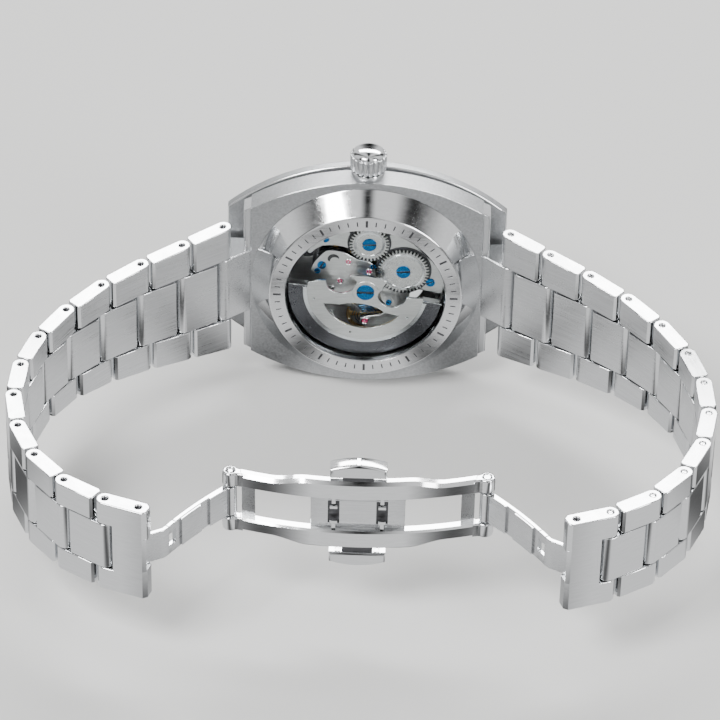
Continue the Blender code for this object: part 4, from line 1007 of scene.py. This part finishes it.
def finish_carried():
    """CAD nodes that stay as they are, with a finish of their own."""
    finishes = {
        "steel": metal("steel_inner", (0.6, 0.6, 0.6), 0.28, (3.0, 3.0, 0.4), 0.1, 0.1, 0.08,
                       own_space=False),
        "blue": metal("spring_blue", (0.03, 0.14, 0.32), 0.3, (2.0, 2.0, 2.0), 0.05, 0.1, 0.12,
                      own_space=False),
        "rubber": metal("rubber_inner", (0.02, 0.02, 0.02), 0.7, (2.0, 2.0, 2.0), 0.3, 0.1, 0.3,
                        own_space=False, metallic=0.0)}
    for node, kind in CARRIED.items():
        obj = frame["nodes"][node]
        obj.data.materials.clear()
        obj.data.materials.append(finishes[kind])


def lamp(name, where, target, size, power):
    data = bpy.data.lights.new(name, "AREA")
    data.shape = "RECTANGLE"
    data.size, data.size_y = size
    data.energy = power
    obj = bpy.data.objects.new(name, data)
    obj.location = where
    obj.rotation_mode = "QUATERNION"
    obj.rotation_quaternion = (Vector(target) - Vector(where)).to_track_quat("-Z", "Y")
    bpy.context.scene.collection.objects.link(obj)
    return obj


def sectors(tree, source, centre_back, sign, dark, bright):
    """Brightness by bearing: pale with soft dark sectors, as polished metal sees flags in a light tent."""
    count = 6.0
    split = tree.nodes.new("ShaderNodeSeparateXYZ")
    tree.links.new(source, split.inputs[0])
    bearing = maths(tree, "ARCTAN2", split.outputs["X"], maths(tree, "ADD", split.outputs["Y"], centre_back))
    wave = maths(tree, "COSINE", maths(tree, "MULTIPLY", bearing, count), 0.0)
    return remap(tree, maths(tree, "MULTIPLY", wave, sign), -1.0, 0.0, dark, bright)


def stage():
    """A pale floor and three soft lamps. The floor is plain to the camera and the lamps, but glows in
    reflections with a painted pattern of dark sectors.
    """
    low = CAD_LOW.z
    mesh = bpy.data.meshes.new("floor")
    reach = 1.5
    corners = [(-reach, -reach, low), (reach, -reach, low), (reach, reach, low), (-reach, reach, low)]
    mesh.from_pydata(corners, [], [(0, 1, 2, 3)])
    floor = bpy.data.objects.new("floor", mesh)
    bpy.context.scene.collection.objects.link(floor)
    mat, tree, shader = nodes_of("floor_pale_glowing_in_reflections")
    shader.inputs["Base Color"].default_value = (0.66, 0.66, 0.65, 1)
    shader.inputs["Roughness"].default_value = 0.8
    place = tree.nodes.new("ShaderNodeTexCoord")
    # Painted reflection: for glossy rays the floor is an emitter with bright and dark sectors.
    glow = tree.nodes.new("ShaderNodeEmission")
    tree.links.new(sectors(tree, place.outputs["Object"], 0.03, 1.0, 0.12, 1.05), glow.inputs["Strength"])
    path = tree.nodes.new("ShaderNodeLightPath")
    pick = tree.nodes.new("ShaderNodeMixShader")
    tree.links.new(path.outputs["Is Glossy Ray"], pick.inputs["Fac"])
    tree.links.new(shader.outputs[0], pick.inputs[1])
    tree.links.new(glow.outputs[0], pick.inputs[2])
    tree.links.new(pick.outputs[0], tree.nodes["Material Output"].inputs["Surface"])
    shader.inputs["Specular IOR Level"].default_value = 0.2
    mesh.materials.append(mat)
    middle = Vector((0, -0.03, 0))
    lamp("key", (-0.22, -0.26, 0.42), middle, (0.22, 0.16), 3.2)
    lamp("fill", (0.34, -0.30, 0.20), middle, (0.12, 0.30), 1.5)
    lamp("back", (0.05, 0.32, 0.34), middle, (0.45, 0.10), 2.6)


def world():
    """Even pale surroundings for the light, but reflections see them with dark sectors."""
    scene_world = bpy.data.worlds.new("studio")
    bpy.context.scene.world = scene_world
    scene_world.use_nodes = True
    tree = scene_world.node_tree
    back = tree.nodes["Background"]
    place = tree.nodes.new("ShaderNodeTexCoord")
    seen_in_metal = sectors(tree, place.outputs["Generated"], 0.0, -1.0, 0.0, 1.05)
    plain_level = 0.38
    path = tree.nodes.new("ShaderNodeLightPath")
    mix = tree.nodes.new("ShaderNodeMix")
    mix.data_type = "FLOAT"
    tree.links.new(path.outputs["Is Glossy Ray"], mix.inputs["Factor"])
    mix.inputs[2].default_value = plain_level
    tree.links.new(seen_in_metal, mix.inputs[3])
    back.inputs["Color"].default_value = (1, 1, 1, 1)
    tree.links.new(mix.outputs[0], back.inputs["Strength"])


def camera():
    """The photograph's angle, with a small roll."""
    lift, swing, roll = (math.radians(v) for v in (37.12, 0.46, 1.26))
    back = Vector((math.sin(swing) * math.cos(lift), -math.cos(swing) * math.cos(lift), math.sin(lift)))
    right = Z_AXIS.cross(back).normalized()
    up = back.cross(right)
    data = bpy.data.cameras.new("view")
    data.sensor_width = 36
    data.lens = 197.54
    data.clip_start, data.clip_end = 0.01, 10
    obj = bpy.data.objects.new("view", data)
    target, distance, aside, above = Vector((0, -35, 0)), 600, 0.33, 11.06
    spot = target + back * distance - right * aside + up * above
    across = right * math.cos(roll) + up * math.sin(roll)
    rise = up * math.cos(roll) - right * math.sin(roll)
    turned = Matrix((across, rise, back)).transposed().to_4x4()
    obj.matrix_world = Matrix.Translation(spot * MM) @ turned
    bpy.context.scene.collection.objects.link(obj)
    bpy.context.scene.camera = obj


middle_case()
case_back()
bezel_and_crystals()
crown()
for word in ("left", "right"):
    for index in range(11):
        link(word, index)
    end_link(word)
    clasp_arm(word)
clasp_frame()
for word in ("top", "bottom"):
    push_button(word)
mainplate()
bridges()
wheels()
balance()
rotor()
dial()
hand("hour_hand", "hour_hand", 8.6, 1.5, 9.35, 9.55, 0.55, -60)
hand("minute_hand", "centre_wheel", 12.6, 1.2, 9.8, 10.0, 0.36, 60)
hand("seconds_hand", "seconds_hand", 13.2, 0.35, 10.3, 10.45, 0.2, 180)
finish_carried()
stage()
world()
camera()
